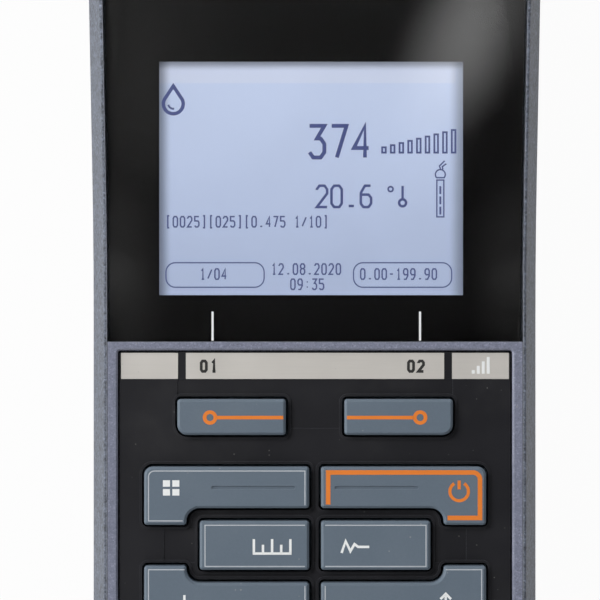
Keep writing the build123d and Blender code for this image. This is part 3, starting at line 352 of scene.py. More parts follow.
@dataclass(frozen=True)
class ErodedGrain(Effect):
    """Fine texture that a spark-eroded mould leaves on plastic."""

    changes: ClassVar[tuple[str, ...]] = ("colour", "height")
    COARSER: ClassVar[float] = 3.1
    FINE_SHARE: ClassVar[float] = 0.7
    COARSE_SHARE: ClassVar[float] = 0.3
    TONE_REACH: ClassVar[float] = 5.0
    DARKEST: ClassVar[float] = 0.2
    size: float = 0.35
    depth: float = 0.02
    mottle: float = 0.25

    def shape(self, graph: Graph, given: Surface, value: Sockets) -> Surface:
        """Two layers of noise in the height and in the colour.

        Args:
            graph: the group's tree.
            given: surface that comes in.
            value: socket of each field, by name.

        Returns:
            The surface that goes out.
        """
        place = graph.coordinates()
        fine = graph.noise(place, value["size"], detail=3.0, roughness=0.65)
        coarse = graph.noise(place, graph.math("MULTIPLY", value["size"], self.COARSER))
        fine_part = graph.math("MULTIPLY", fine, self.FINE_SHARE)
        coarse_part = graph.math("MULTIPLY", coarse, self.COARSE_SHARE)
        grain = graph.math("ADD", fine_part, coarse_part)
        swing = graph.math("SUBTRACT", grain, NOISE_MIDDLE)
        reach = graph.math("MULTIPLY", value["mottle"], self.TONE_REACH)
        tone = graph.math("ADD", 1.0, graph.math("MULTIPLY", swing, reach))
        colour = graph.scaled(given.colour, graph.math("MAXIMUM", tone, self.DARKEST))
        height = graph.math("ADD", given.height, graph.math("MULTIPLY", grain, value["depth"]))
        return Surface(colour, given.roughness, height)


@dataclass(frozen=True)
class EdgeWearAndHighlight(Effect):
    """Lighter edges: partly wear from handling and the mould, and partly a painted highlight along the rounded
    edges.
    """

    BEND: ClassVar[Point] = (0.01, 0.16)
    BREAK_SIZE: ClassVar[float] = 1.1
    BREAKS: ClassVar[Point] = (0.3, 0.62)
    LEAST_LEFT: ClassVar[float] = 0.45
    POLISH: ClassVar[float] = 0.12
    width: float = 0.25
    amount: float = 0.5
    tint: Colour = (0.3, 0.32, 0.35)

    def shape(self, graph: Graph, given: Surface, value: Sockets) -> Surface:
        """Mask where the rounded normal leaves the true one, broken up by noise.

        Args:
            graph: the group's tree.
            given: surface that comes in.
            value: socket of each field, by name.

        Returns:
            The surface that goes out.
        """
        rounded = graph.add("ShaderNodeBevel", samples=6)
        graph.feed(rounded.inputs["Radius"], graph.math("MULTIPLY", value["width"], MM))
        geometry = graph.add("ShaderNodeNewGeometry")
        match = graph.add("ShaderNodeVectorMath", operation="DOT_PRODUCT")
        graph.feed(match.inputs[0], rounded.outputs[0])
        graph.feed(match.inputs[1], geometry.outputs["Normal"])
        turn = graph.math("SUBTRACT", 1.0, match.outputs["Value"])
        mask = graph.span(turn, *self.BEND)
        patches = graph.noise(graph.coordinates(), self.BREAK_SIZE, detail=3.0)
        broken = graph.span(patches, *self.BREAKS, start=self.LEAST_LEFT)
        share = graph.math("MULTIPLY", graph.math("MULTIPLY", mask, broken), value["amount"])
        # painted highlight together with wear: the rounded edges are mixed towards the lighter tint
        colour = graph.mix(share, given.colour, value["tint"])
        roughness = graph.math("SUBTRACT", given.roughness, graph.math("MULTIPLY", share, self.POLISH))
        return Surface(colour, roughness, given.height)


@dataclass(frozen=True)
class Dust(Effect):
    """Specks and a thin film of dust on what faces up."""

    RARE: ClassVar[Point] = (0.955, 0.975)
    SPECK_EDGE: ClassVar[Point] = (0.1, 0.22)
    FILM_SIZE: ClassVar[float] = 14.0
    FILM_EDGE: ClassVar[Point] = (0.45, 0.8)
    FILM_SHARE: ClassVar[float] = 0.06
    FACING_UP: ClassVar[Point] = (0.4, 0.9)
    DULLING: ClassVar[float] = 0.3
    size: float = 0.7
    amount: float = 0.3
    tint: Colour = (0.42, 0.41, 0.39)

    def shape(self, graph: Graph, given: Surface, value: Sockets) -> Surface:
        """Rare small cells, and a film that follows a wide noise.

        Args:
            graph: the group's tree.
            given: surface that comes in.
            value: socket of each field, by name.

        Returns:
            The surface that goes out.
        """
        place = graph.coordinates()
        distance, chance = graph.cells(place, value["size"])
        rare = graph.span(chance, *self.RARE)
        speck = graph.math("MULTIPLY", rare, graph.span(distance, *self.SPECK_EDGE, 1.0, 0.0))
        wide = graph.noise(place, self.FILM_SIZE, detail=4.0, roughness=0.7)
        film = graph.span(wide, *self.FILM_EDGE, end=self.FILM_SHARE)
        upward = graph.add("ShaderNodeSeparateXYZ")
        graph.feed(upward.inputs[0], graph.add("ShaderNodeTexCoord").outputs["Normal"])
        facing = graph.span(upward.outputs["Z"], *self.FACING_UP)
        both = graph.math("ADD", speck, film)
        share = graph.math("MULTIPLY", graph.math("MULTIPLY", both, facing), value["amount"])
        colour = graph.mix(share, given.colour, value["tint"])
        roughness = graph.math("ADD", given.roughness, graph.math("MULTIPLY", share, self.DULLING))
        return Surface(colour, roughness, given.height)


@dataclass(frozen=True)
class Handling(Effect):
    """Slow change of gloss and tone that hands leave."""

    size: float = 9.0
    gloss: float = 0.12
    tone: float = 0.08

    def shape(self, graph: Graph, given: Surface, value: Sockets) -> Surface:
        """Wide noise in the roughness and in the colour.

        Args:
            graph: the group's tree.
            given: surface that comes in.
            value: socket of each field, by name.

        Returns:
            The surface that goes out.
        """
        wide = graph.noise(graph.coordinates(), value["size"], detail=4.0)
        swing = graph.math("SUBTRACT", wide, NOISE_MIDDLE)
        roughness = graph.math("ADD", given.roughness, graph.math("MULTIPLY", swing, value["gloss"]))
        factor = graph.math("ADD", 1.0, graph.math("MULTIPLY", swing, value["tone"]))
        return Surface(graph.scaled(given.colour, factor), roughness, given.height)


@dataclass(frozen=True)
class Sparkle(Effect):
    """Tiny bright flakes in a metallic paint or filled plastic."""

    changes: ClassVar[tuple[str, ...]] = ("colour",)
    DARK_DROP: ClassVar[float] = 0.45
    size: float = 0.16
    amount: float = 0.35
    share: float = 0.12

    def shape(self, graph: Graph, given: Surface, value: Sockets) -> Surface:
        """Random cells that are brighter, with a few that are darker.

        Args:
            graph: the group's tree.
            given: surface that comes in.
            value: socket of each field, by name.

        Returns:
            The surface that goes out.
        """
        chance = graph.cells(graph.coordinates(), value["size"])[1]
        limit = graph.math("SUBTRACT", 1.0, value["share"])
        bright = graph.math("GREATER_THAN", chance, limit)
        dark = graph.math("LESS_THAN", chance, value["share"])
        swing = graph.math("SUBTRACT", bright, graph.math("MULTIPLY", dark, self.DARK_DROP))
        factor = graph.math("ADD", 1.0, graph.math("MULTIPLY", swing, value["amount"]))
        return Surface(graph.scaled(given.colour, factor), given.roughness, given.height)


@dataclass(frozen=True)
class Brushed(Effect):
    """Fine parallel lines across the meter, as on rolled foil or turned metal."""

    changes: ClassVar[tuple[str, ...]] = ("colour", "roughness", "height")
    STRETCH: ClassVar[tuple[float, float, float]] = (60.0, 1.0, 1.0)
    GLOSS_CHANGE: ClassVar[float] = 0.15
    width: float = 0.12
    contrast: float = 0.12
    depth: float = 0.003

    def shape(self, graph: Graph, given: Surface, value: Sockets) -> Surface:
        """Noise drawn out along x.

        Args:
            graph: the group's tree.
            given: surface that comes in.
            value: socket of each field, by name.

        Returns:
            The surface that goes out.
        """
        place = graph.coordinates(self.STRETCH)
        lines = graph.noise(place, value["width"], detail=3.0, roughness=0.6)
        swing = graph.math("SUBTRACT", lines, NOISE_MIDDLE)
        factor = graph.math("ADD", 1.0, graph.math("MULTIPLY", swing, value["contrast"]))
        roughness = graph.math("ADD", given.roughness, graph.math("MULTIPLY", swing, self.GLOSS_CHANGE))
        height = graph.math("ADD", given.height, graph.math("MULTIPLY", lines, value["depth"]))
        return Surface(graph.scaled(given.colour, factor), roughness, height)


class Light(Enum):
    """How a finish deals with light that is not simply reflected."""

    SOLID = "solid"
    CLEAR = "clear"
    LIT = "lit"


@dataclass(frozen=True)
class Finish:
    """A surface finish: plain values on the shader, and effects that change over the surface."""

    name: str
    colour: Colour
    roughness: float
    effects: tuple[Effect, ...] = ()
    metallic: float = 0.0
    coat: float = 0.0
    ior: float = 1.46
    light: Light = Light.SOLID
    glow: float = 0.0
    reflected: float = 0.3

    def material(self) -> bpy.types.Material:
        """The finish as a material, built on first use.

        Returns:
            The material.
        """
        if self.name in MADE:
            return MADE[self.name]
        material = bpy.data.materials.new(self.name)
        MADE[self.name] = material
        material.use_nodes = True
        graph = Graph(material.node_tree)
        shader = next(node for node in material.node_tree.nodes if node.type == "BSDF_PRINCIPLED")
        shader.inputs["Metallic"].default_value = self.metallic
        shader.inputs["IOR"].default_value = self.ior
        shader.inputs["Coat Weight"].default_value = self.coat
        shader.inputs["Coat Roughness"].default_value = COAT_ROUGHNESS
        surface = Surface(self.base(graph), self.roughness)
        for effect in self.effects:
            surface = effect.apply(graph, surface)
        lit = self.light is Light.LIT
        seen = graph.scaled(surface.colour, self.reflected) if lit else surface.colour
        graph.feed(shader.inputs["Base Color"], seen)
        graph.feed(shader.inputs["Roughness"], surface.roughness)
        if isinstance(surface.height, Socket):
            bump = graph.add("ShaderNodeBump")
            bump.inputs["Strength"].default_value = 1.0
            bump.inputs["Distance"].default_value = MM
            graph.feed(bump.inputs["Height"], surface.height)
            graph.feed(shader.inputs["Normal"], bump.outputs[0])
        if self.light is Light.CLEAR:
            shader.inputs["Transmission Weight"].default_value = 1.0
        if lit:
            graph.feed(shader.inputs["Emission Color"], surface.colour)
            shader.inputs["Emission Strength"].default_value = self.glow
        return material

    def base(self, graph: Graph) -> NodeInput:
        """Colour before the effects."""
        return self.colour


@dataclass(frozen=True)
class ScreenFinish(Finish):
    """Lit display: brighter along the top, and darker towards the edges of the mask, where a painted shadow stands
    in for the shade that the mask casts.

    Each edge has the width in millimetres of its painted shade and the factor at the mask. The low edge has a
    slight painted brightening instead.
    """

    face: Face | None = None
    depth: float = -2.9
    left: float = -26.61
    right: float = 25.29
    low: float = 7.9
    high: float = 47.8
    band: float = 44.2
    band_end: float = 23.9
    band_colour: Colour = from_screen(198, 207, 229)
    foot_colour: Colour = from_screen(171, 184, 212)
    blur: float = 0.12
    left_edge: Point = (2.2, 0.42)
    right_edge: Point = (2.6, 0.5)
    low_painted_light: Point = (1.2, 1.04)
    high_painted_shadow: Point = (1.6, 0.42)
    cloud_size: float = 16.0
    cloud_edge: Point = (0.3, 0.7)
    cloud_tones: Point = (0.985, 1.02)
    band_fade: float = 4.0

    def base(self, graph: Graph) -> NodeInput:
        """Gradient down the display, its bright top band, and the painted shadow of the mask along its edges.

        Args:
            graph: the material's tree.

        Returns:
            Socket with the colour.
        """
        parts = graph.add("ShaderNodeSeparateXYZ")
        graph.feed(parts.inputs[0], graph.add("ShaderNodeTexCoord").outputs["Object"])
        across, along = parts.outputs["X"], parts.outputs["Y"]
        rows = {row: self.face.y_in_row(row, self.depth) for row in (self.low, self.high, self.band)}
        rise = graph.span(along, rows[self.low], rows[self.high])
        colour = graph.mix(rise, self.foot_colour, self.colour)
        soft = self.blur * MM
        in_band = graph.span(along, rows[self.band] - soft, rows[self.band] + soft)
        band_end = self.band_end * MM
        before_end = graph.span(across, band_end - soft, band_end + self.band_fade * soft, 1.0, 0.0)
        colour = graph.mix(graph.math("MULTIPLY", in_band, before_end), colour, self.band_colour)
        # painted shadow of the mask on the left, right and high edges, and a slight painted brightening on the low
        # edge
        width, tone = self.left_edge
        shade = graph.span(across, self.left * MM, (self.left + width) * MM, tone, 1.0)
        width, tone = self.right_edge
        right = graph.span(across, (self.right - width) * MM, self.right * MM, 1.0, tone)
        width, tone = self.low_painted_light
        low = graph.span(along, rows[self.low], rows[self.low] + width * MM, tone, 1.0)
        width, tone = self.high_painted_shadow
        high = graph.span(along, rows[self.high] - width * MM, rows[self.high], 1.0, tone)
        for edge in (right, low, high):
            shade = graph.math("MULTIPLY", shade, edge)
        wide = graph.noise(graph.coordinates(), self.cloud_size, detail=1.0)
        cloud = graph.span(wide, *self.cloud_edge, *self.cloud_tones)
        return graph.scaled(colour, graph.math("MULTIPLY", shade, cloud))


KEY_GREY = from_screen(96, 109, 122)
PRINT_WHITE = Finish("print_white", from_screen(238, 240, 240), 0.5, (Handling(3.0, 0.1, 0.12),))
PRINT_PALE = Finish("print_pale", from_screen(186, 191, 197), 0.5, (Handling(3.0, 0.1, 0.2),))
PRINT_ORANGE = Finish("print_orange", from_screen(230, 127, 46), 0.48, (Handling(3.0, 0.1, 0.1),))
PRINT_BLACK = Finish("print_black", from_screen(38, 37, 36), 0.5, (Handling(3.0, 0.1, 0.2),))
SCREEN_INK = Finish("screen_ink", from_screen(74, 84, 134), 0.4, (Handling(4.0, 0.0, 0.12),),
                    light=Light.LIT, glow=0.8)


def finishes(face: Face) -> dict[str, Finish]:
    """Finish of each material slot of the record.

    Args:
        face: frame of the sloping front, which the display's finish needs.

    Returns:
        Finishes by slot name.
    """
    pale_edge = from_screen(150, 156, 166)
    metal_lines = (Brushed(width=0.1, contrast=0.15, depth=0.002), Handling(size=5.0, gloss=0.1, tone=0.06))
    made = (
        Finish("front_casing", from_screen(88, 94, 106), 0.6,
               (ErodedGrain(size=0.42, depth=0.06, mottle=1.1), Sparkle(size=0.3, amount=0.5, share=0.1),
                # painted highlight along the casing's rim, together with wear
                EdgeWearAndHighlight(width=0.26, amount=0.75, tint=from_screen(176, 180, 188)),
                Dust(size=0.8, amount=0.35))),
        Finish("rear_casing", from_screen(72, 77, 86), 0.55,
               (ErodedGrain(size=0.32, depth=0.03, mottle=0.25),
                EdgeWearAndHighlight(width=0.4, amount=0.35, tint=pale_edge), Handling(size=14.0, gloss=0.1, tone=0.1))),
        Finish("frame", from_screen(122, 126, 144), 0.42,
               (ErodedGrain(size=0.3, depth=0.02, mottle=0.3), Sparkle(size=0.24, amount=0.3, share=0.1),
                # painted highlight along the frame's rims, together with wear
                EdgeWearAndHighlight(width=0.22, amount=0.6, tint=from_screen(168, 172, 184)),
                Dust(size=0.8, amount=0.5))),
        Finish("panel", from_screen(19, 19, 24), 0.42,
               (ErodedGrain(size=0.25, depth=0.004, mottle=0.06),
                # painted highlight on the beads round the key wells, together with wear
                EdgeWearAndHighlight(width=0.16, amount=0.4, tint=from_screen(84, 86, 92)),
                Handling(size=12.0, gloss=0.14, tone=0.2), Dust(size=0.6, amount=0.3))),
        Finish("window", (1.0, 1.0, 1.0), 0.01, ior=1.49, light=Light.CLEAR),
        Finish("mask", from_screen(9, 8, 9), 0.35, (Handling(size=20.0, gloss=0.1, tone=0.3),)),
        Finish("foam", from_screen(30, 30, 31), 0.95, (ErodedGrain(size=0.4, depth=0.05, mottle=0.3),)),
        ScreenFinish("lcd", from_screen(190, 203, 230), 0.35, light=Light.LIT, glow=0.86, face=face),
        Finish("light_guide", (0.9, 0.93, 0.96), 0.15, (Handling(size=8.0, gloss=0.1, tone=0.05),)),
        Finish("tray", from_screen(215, 216, 214), 0.5, (ErodedGrain(size=0.3, depth=0.01, mottle=0.05),)),
        Finish("foil", from_screen(214, 210, 204), 0.42,
               (Brushed(width=0.16, contrast=0.1, depth=0.002), Handling(size=6.0, gloss=0.12, tone=0.05),
                Dust(size=0.7, amount=0.3)), metallic=0.35),
        Finish("key", KEY_GREY, 0.5,
               (ErodedGrain(size=0.16, depth=0.006, mottle=0.06),
                # painted highlight on the key bevels, together with wear
                EdgeWearAndHighlight(width=0.26, amount=0.3, tint=from_screen(136, 144, 156)),
                Handling(size=7.0, gloss=0.1, tone=0.05), Dust(size=0.9, amount=0.4))),
        Finish("rubber", from_screen(34, 34, 35), 0.8, (ErodedGrain(size=0.3, depth=0.01, mottle=0.2),)),
        Finish("cover_rubber", from_screen(44, 46, 50), 0.72,
               (ErodedGrain(size=0.3, depth=0.012, mottle=0.15),
                EdgeWearAndHighlight(width=0.3, amount=0.25, tint=pale_edge), Dust(size=0.8, amount=0.3))),
        Finish("silicone", from_screen(190, 190, 188), 0.55, (Handling(size=6.0, gloss=0.1, tone=0.08),)),
        Finish("steel", from_screen(176, 178, 182), 0.32, metal_lines, metallic=1.0),
        Finish("lid_screw", from_screen(178, 180, 182), 0.3,
               (Brushed(width=0.08, contrast=0.2, depth=0.003),
                EdgeWearAndHighlight(width=0.15, amount=0.4, tint=(0.75, 0.75, 0.75))), metallic=1.0),
        Finish("brass", from_screen(206, 170, 98), 0.34, metal_lines, metallic=1.0),
        Finish("gold", from_screen(226, 190, 120), 0.25, metal_lines, metallic=1.0),
        Finish("board", from_screen(28, 92, 58), 0.35,
               (ErodedGrain(size=0.8, depth=0.01, mottle=0.15), Handling(size=5.0, gloss=0.1, tone=0.1)),
               coat=0.3),
        Finish("tin", from_screen(196, 198, 200), 0.3, metal_lines, metallic=1.0),
        Finish("chip", from_screen(40, 40, 42), 0.55, (ErodedGrain(size=0.15, depth=0.005, mottle=0.15),)),
        Finish("ribbon", from_screen(176, 118, 44), 0.3, (Brushed(width=1.0, contrast=0.2, depth=0.0),),
               coat=0.4),
        Finish("insulator", from_screen(38, 38, 40), 0.5, (ErodedGrain(size=0.2, depth=0.01, mottle=0.15),)),
        Finish("socket_metal", from_screen(190, 192, 196), 0.28,
               (Brushed(width=0.09, contrast=0.18, depth=0.002),
                EdgeWearAndHighlight(width=0.2, amount=0.3, tint=(0.8, 0.8, 0.8)),
                Handling(size=5.0, gloss=0.1, tone=0.06)), metallic=1.0),
        Finish("port_metal", from_screen(186, 188, 192), 0.3, metal_lines, metallic=1.0),
        Finish("cell", from_screen(42, 74, 128), 0.35, (Handling(size=9.0, gloss=0.1, tone=0.15),), coat=0.5),
        Finish("contact", from_screen(188, 188, 186), 0.28, metal_lines, metallic=1.0),
    )
    return {finish.name: finish for finish in made}


def arc(centre: Point, radius: float, start: float, end: float, steps: int = 24) -> list[Point]:
    """Points along a circular arc.

    Args:
        centre: middle of the circle.
        radius: its radius.
        start: first angle in degrees, from the x axis.
        end: last angle in degrees.
        steps: number of equal steps.

    Returns:
        The points from start to end.
    """
    turns = [radians(start + (end - start) * step / steps) for step in range(steps + 1)]
    return [(centre[0] + radius * cos(turn), centre[1] + radius * sin(turn)) for turn in turns]


def circle(centre: Point, radius: float, steps: int) -> list[Point]:
    """Points round a whole circle, of which the last is the first again."""
    return arc(centre, radius, 0, 360, steps)


def rounded(points: list[Point], radius: float, closed: bool = False, steps: int = 8) -> list[Point]:
    """A path with its corners rounded.

    Args:
        points: corners of the path.
        radius: radius of each rounded corner.
        closed: whether the last corner joins the first.
        steps: number of steps round each corner.

    Returns:
        The points of the rounded path.
    """
    path: list[Point] = []
    count = len(points)
    for index, corner in enumerate(points):
        if not closed and index in (0, count - 1):
            path.append(corner)
            continue
        here = Vector(corner)
        before = (Vector(points[index - 1]) - here).normalized()
        after = (Vector(points[(index + 1) % count]) - here).normalized()
        half = before.angle(after) / 2
        reach = radius / tan(half)
        centre = here + (before + after).normalized() * (radius / sin(half))
        first = here + before * reach - centre
        last = here + after * reach - centre
        for step in range(steps + 1):
            spoke = first.lerp(last, step / steps).normalized() * radius
            path.append(tuple(centre + spoke))
    return path


GLYPH_WIDTH = 4
GLYPH_HEIGHT = 6
GLYPHS: dict[str, tuple[tuple[Point, ...], ...]] = {
    "0": (((1, 0), (3, 0), (4, 1), (4, 5), (3, 6), (1, 6), (0, 5), (0, 1), (1, 0)),),
    "1": (((1, 4.8), (2.2, 6), (2.2, 0)), ((1, 0), (3.4, 0))),
    "2": (((0, 4.8), (0, 5), (1, 6), (3, 6), (4, 5), (4, 3.8), (0, 0), (4, 0)),),
    "3": (((0, 6), (4, 6), (2, 3.6), (3, 3.6), (4, 2.6), (4, 1), (3, 0), (1, 0), (0, 1)),),
    "4": (((4, 1.8), (0, 1.8), (3, 6), (3, 0)),),
    "5": (((4, 6), (0, 6), (0, 3.5), (3, 3.5), (4, 2.6), (4, 1), (3, 0), (1, 0), (0, 0.8)),),
    "6": (((3.8, 6), (1.6, 6), (0, 4), (0, 1), (1, 0), (3, 0), (4, 1), (4, 2.6), (3, 3.5), (0, 3.5)),),
    "7": (((0, 6), (4, 6), (1.4, 0)),),
    "8": (((1, 3.3), (0, 4.2), (0, 5), (1, 6), (3, 6), (4, 5), (4, 4.2), (3, 3.3), (1, 3.3), (0, 2.4),
           (0, 1), (1, 0), (3, 0), (4, 1), (4, 2.4), (3, 3.3)),),
    "9": (((0.2, 0), (2.4, 0), (4, 2), (4, 5), (3, 6), (1, 6), (0, 5), (0, 3.5), (1, 2.6), (4, 2.6)),),
    ".": (((1.0, 0.3), (3.0, 0.3)),),
    ":": (((1.5, 1.4), (2.5, 1.4)), ((1.5, 4.4), (2.5, 4.4))),
    "-": (((0.6, 3), (3.4, 3)),),
    "/": (((0.2, 0.4), (3.8, 5.6)),),
    "[": (((3, -0.5), (1.6, -0.5), (1.6, 6.5), (3, 6.5)),),
    "]": (((1, -0.5), (2.4, -0.5), (2.4, 6.5), (1, 6.5)),),
}


@dataclass(frozen=True)
class Type:
    """Size of a run of numerals, in millimetres."""

    width: float
    height: float
    pitch: float
    stroke: float


@dataclass
class Pen:
    """Draws flat marks on the face and turns them into one thin closed piece."""

    MITRE_LIMIT: ClassVar[float] = 0.45
    face: Face
    level: float
    thickness: float = 0.02
    vertices: list[Vector] = field(default_factory=list)
    polygons: list[tuple[int, ...]] = field(default_factory=list)

    def stroke(self, points: list[Point], width: float, closed: bool = False) -> None:
        """A line of even width with mitred corners.

        Args:
            points: the middle of the line.
            width: its width.
            closed: whether its end joins its start.
        """
        path = [Vector(point) for point in points]
        if closed and (path[0] - path[-1]).length < TINY:
            path.pop()
        count = len(path)
        left, right = [], []
        for index, here in enumerate(path):
            before = path[index - 1] if closed or index else None
            after = path[(index + 1) % count] if closed or index < count - 1 else None
            ways = []
            if before is not None:
                ways.append((here - before).normalized())
            if after is not None:
                ways.append((after - here).normalized())
            along = sum(ways, Vector((0, 0)))
            along = along.normalized() if along.length > TINY else ways[0]
            side = Vector((-along.y, along.x))
            lean = max(self.MITRE_LIMIT, side.dot(Vector((-ways[-1].y, ways[-1].x))))
            left.append(here + side * (width / 2 / lean))
            right.append(here - side * (width / 2 / lean))
        self._band(left, right, closed)

    def _band(self, left: list[Vector], right: list[Vector], closed: bool) -> None:
        """Closed thin solid between two edges of the same number of points.

        Args:
            left: points of the left edge.
            right: points of the right edge.
            closed: whether the band runs on from its end to its start.
        """
        count = len(left)
        start = len(self.vertices)
        for height in (self.thickness, -self.thickness):
            for edge in (left, right):
                self.vertices += [self.face.place(p.x, p.y, self.level + height) for p in edge]
        top_left, top_right, low_left, low_right = (start + count * part for part in range(4))
        for i in range(count if closed else count - 1):
            j = (i + 1) % count
            self.polygons += [
                (top_left + i, top_right + i, top_right + j, top_left + j),
                (low_left + j, low_right + j, low_right + i, low_left + i),
                (top_left + j, low_left + j, low_left + i, top_left + i),
                (top_right + i, low_right + i, low_right + j, top_right + j),
            ]
        if not closed:
            end = count - 1
            self.polygons += [
                (top_left, low_left, low_right, top_right),
                (top_left + end, top_right + end, low_right + end, low_left + end),
            ]

    def fill(self, points: list[Point]) -> None:
        """A filled outline, given against the clock.

        Args:
            points: corners of the outline.
        """
        count = len(points)
        start = len(self.vertices)
        for height in (self.thickness, -self.thickness):
            self.vertices += [self.face.place(x, y, self.level + height) for x, y in points]
        self.polygons.append(tuple(range(start, start + count)))
        self.polygons.append(tuple(range(start + 2 * count - 1, start + count - 1, -1)))
        for i in range(count):
            j = (i + 1) % count
            self.polygons.append((start + i, start + count + i, start + count + j, start + j))

    def box(self, left: float, low: float, right: float, high: float) -> None:
        """A filled rectangle."""
        self.fill([(left, low), (right, low), (right, high), (left, high)])

    def write(self, text: str, left: float, low: float, kind: Type) -> None:
        """A run of numerals.

        Args:
            text: digits and simple signs.
            left: left edge of the first one.
            low: foot of the run.
            kind: size of the numerals.
        """
        x_step = (kind.width - kind.stroke) / GLYPH_WIDTH
        y_step = (kind.height - kind.stroke) / GLYPH_HEIGHT
        y0 = low + kind.stroke / 2
        for place, sign in enumerate(text):
            x0 = left + place * kind.pitch + kind.stroke / 2
            for line in GLYPHS.get(sign, ()):
                points = [(x0 + x * x_step, y0 + y * y_step) for x, y in line]
                closed = len(points) > 2 and points[0] == points[-1]
                self.stroke(points, kind.stroke, closed)

    def piece(self, name: str, finish: Finish, body: str) -> bpy.types.Object:
        """The marks as one piece.

        Args:
            name: name of the piece.
            finish: its finish.
            body: body of the model on which it rides.

        Returns:
            The new object.
        """
        mesh = bpy.data.meshes.new(name)
        mesh.from_pydata(self.vertices, [], self.polygons)
        mesh.validate()
        mesh.update()
        mesh.materials.append(finish.material())
        piece = bpy.data.objects.new(name, mesh)
        bpy.context.scene.collection.objects.link(piece)
        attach(piece, body)
        LOG.info("%s: %d faces, on %s", name, len(mesh.polygons), body)
        return piece


@dataclass(frozen=True)
class Readout:
    """What the display shows: numerals, simple signs and two outlined soft key labels."""

    face: Face
    level: float = -2.88
    large: Type = Type(3.2, 6.08, 3.79, 0.66)
    medium: Type = Type(2.2, 4.09, 2.51, 0.44)
    small: Type = Type(0.96, 2.02, 1.225, 0.25)
    thin: float = 0.23
    bar_line: float = 0.315
    thickness: float = 0.012

    def build(self) -> None:
        """Every mark on the display."""
        self.drop()
        self.values()
        self.level_bars()
        self.sensor_gauge()
        self.footer()

    def pen(self) -> Pen:
        """Pen at the level of the display glass."""
        return Pen(self.face, self.level, self.thickness)

    def finish(self, pen: Pen, name: str) -> None:
        """Turn the pen's marks into a piece of the housing."""
        pen.piece(name, SCREEN_INK, HOUSING)

    def drop(self) -> None:
        """Drop sign in the upper left corner."""
        pen = self.pen()
        centre, tip = (-24.25, 40.65), (-24.25, 43.7)
        bowl = arc(centre, radius=1.7, start=-205, end=25, steps=20)
        glint = arc(centre, radius=0.85, start=-170, end=-80, steps=8)
        outline, glint_line = 0.6, 0.34
        pen.stroke([*bowl, tip], outline, closed=True)
        pen.stroke(glint, glint_line)
        self.finish(pen, "display_drop_sign")

    def values(self) -> None:
        """Main value, second value and the line of settings."""
        pen = self.pen()
        pen.write("374", -1.26, 31.13, self.large)
        self.finish(pen, "display_main_value")
        pen = self.pen()
        pen.write("20.6", 0.1, 22.76, self.medium)
        tube, top, neck, bulb = 15.0, 26.6, 24.4, 23.7
        pen.stroke(circle((12.95, 26.05), 0.42, 16), self.thin * 1.3, closed=True)
        pen.stroke([(tube, top), (tube, neck)], 0.4)
        pen.stroke(circle((tube, bulb), 0.6, 16), 0.44, closed=True)
        self.finish(pen, "display_second_value")
        pen = self.pen()
        pen.write("[0025][025][0.475 1/10]", -25.6, 19.45, self.small)
        self.finish(pen, "display_settings_line")

    def level_bars(self) -> None:
        """Rising bars in the place of a unit."""
        pen = self.pen()
        first, foot, width, pitch = 11.5, 32.3, 0.62, 1.49
        shortest, growth = 0.9, 0.37
        for step in range(9):
            left = first + step * pitch
            right = left + width
            high = foot + shortest + growth * step
            pen.stroke([(left, foot), (right, foot), (right, high), (left, high)], self.bar_line, True)
        self.finish(pen, "display_level_bars")

    def sensor_gauge(self) -> None:
        """Sensor sign with three filled steps."""
        pen = self.pen()
        left, right, foot, top = 20.86, 22.06, 21.3, 27.6
        pen.stroke([(left, foot), (right, foot), (right, top), (left, top)], self.thin, True)
        pen.stroke(arc((21.46, 28.55), radius=0.85, start=-40, end=220, steps=16), self.thin, True)
        pen.stroke([(21.5, 29.5), (21.3, 30.0), (22.2, 30.9)], self.thin)
        pen.stroke([(21.9, 29.4), (21.8, 29.9), (22.5, 30.4)], self.thin)
        first, pitch, height = 21.7, 1.75, 1.35
        for step in range(3):
            low = first + pitch * step
            pen.box(21.3, low, 21.62, low + height)
        self.finish(pen, "display_sensor_gauge")

    def footer(self) -> None:
        """Outlined labels above the soft keys, with the date and the time between them."""
        low, high, corner = 9.25, 13.45, 1.6
        for name, left, right, text, start in (
            ("display_label_left", -25.5, -8.7, "1/04", -19.7),
            ("display_label_right", 6.6, 23.4, "0.00-199.90", 7.7),
        ):
            pen = self.pen()
            corners = [(left, low), (right, low), (right, high), (left, high)]
            pen.stroke(rounded(corners, corner, closed=True), self.thin * 0.9, True)
            pen.write(text, start, 10.5, self.small)
            self.finish(pen, name)
        pen = self.pen()
        pen.write("12.08.2020", -7.5, 11.35, self.small)
        pen.write("09:35", -4.25, 8.75, self.small)
        self.finish(pen, "display_date_and_time")


@dataclass(frozen=True)
class WindowMarks:
    """Two ticks on the window that lead from the display to the soft keys."""

    face: Face
    level: float = -0.1
    places: tuple[float, ...] = (-17.46, 17.89)
    width: float = 0.36
    low: float = 0.15
    high: float = 5.1
    thickness: float = 0.012

    def build(self) -> None:
        """One tick above each soft key."""
        for name, x in zip(("left", "right"), self.places):
            pen = Pen(self.face, self.level, self.thickness)
            pen.stroke([(x, self.low), (x, self.high)], self.width)
            pen.piece(f"window_tick_{name}", PRINT_WHITE, HOUSING)


@dataclass(frozen=True)
class StripMarks:
    """Numerals and rising bars on the foil strips."""

    face: Face
    level: float = -0.7
    kind: Type = Type(1.35, 2.25, 1.7, 0.48)
    foot: float = -5.35

    def build(self) -> None:
        """Number of each soft key, and the bars on the right strip."""
        for name, text, left in (("left", "01", -19.65), ("right", "02", 15.7)):
            pen = Pen(self.face, self.level)
            pen.write(text, left, self.foot, self.kind)
            pen.piece(f"strip_number_{name}", PRINT_BLACK, HOUSING)
        pen = Pen(self.face, self.level)
        first, pitch, width = 26.75, 0.85, 0.5
        foot, lowest_top, growth = -5.5, -4.9, 0.75
        for step in range(4):
            left = first + pitch * step
            pen.box(left, foot, left + width, lowest_top + growth * step)
        pen.piece("strip_signal_bars", PRINT_WHITE, HOUSING)


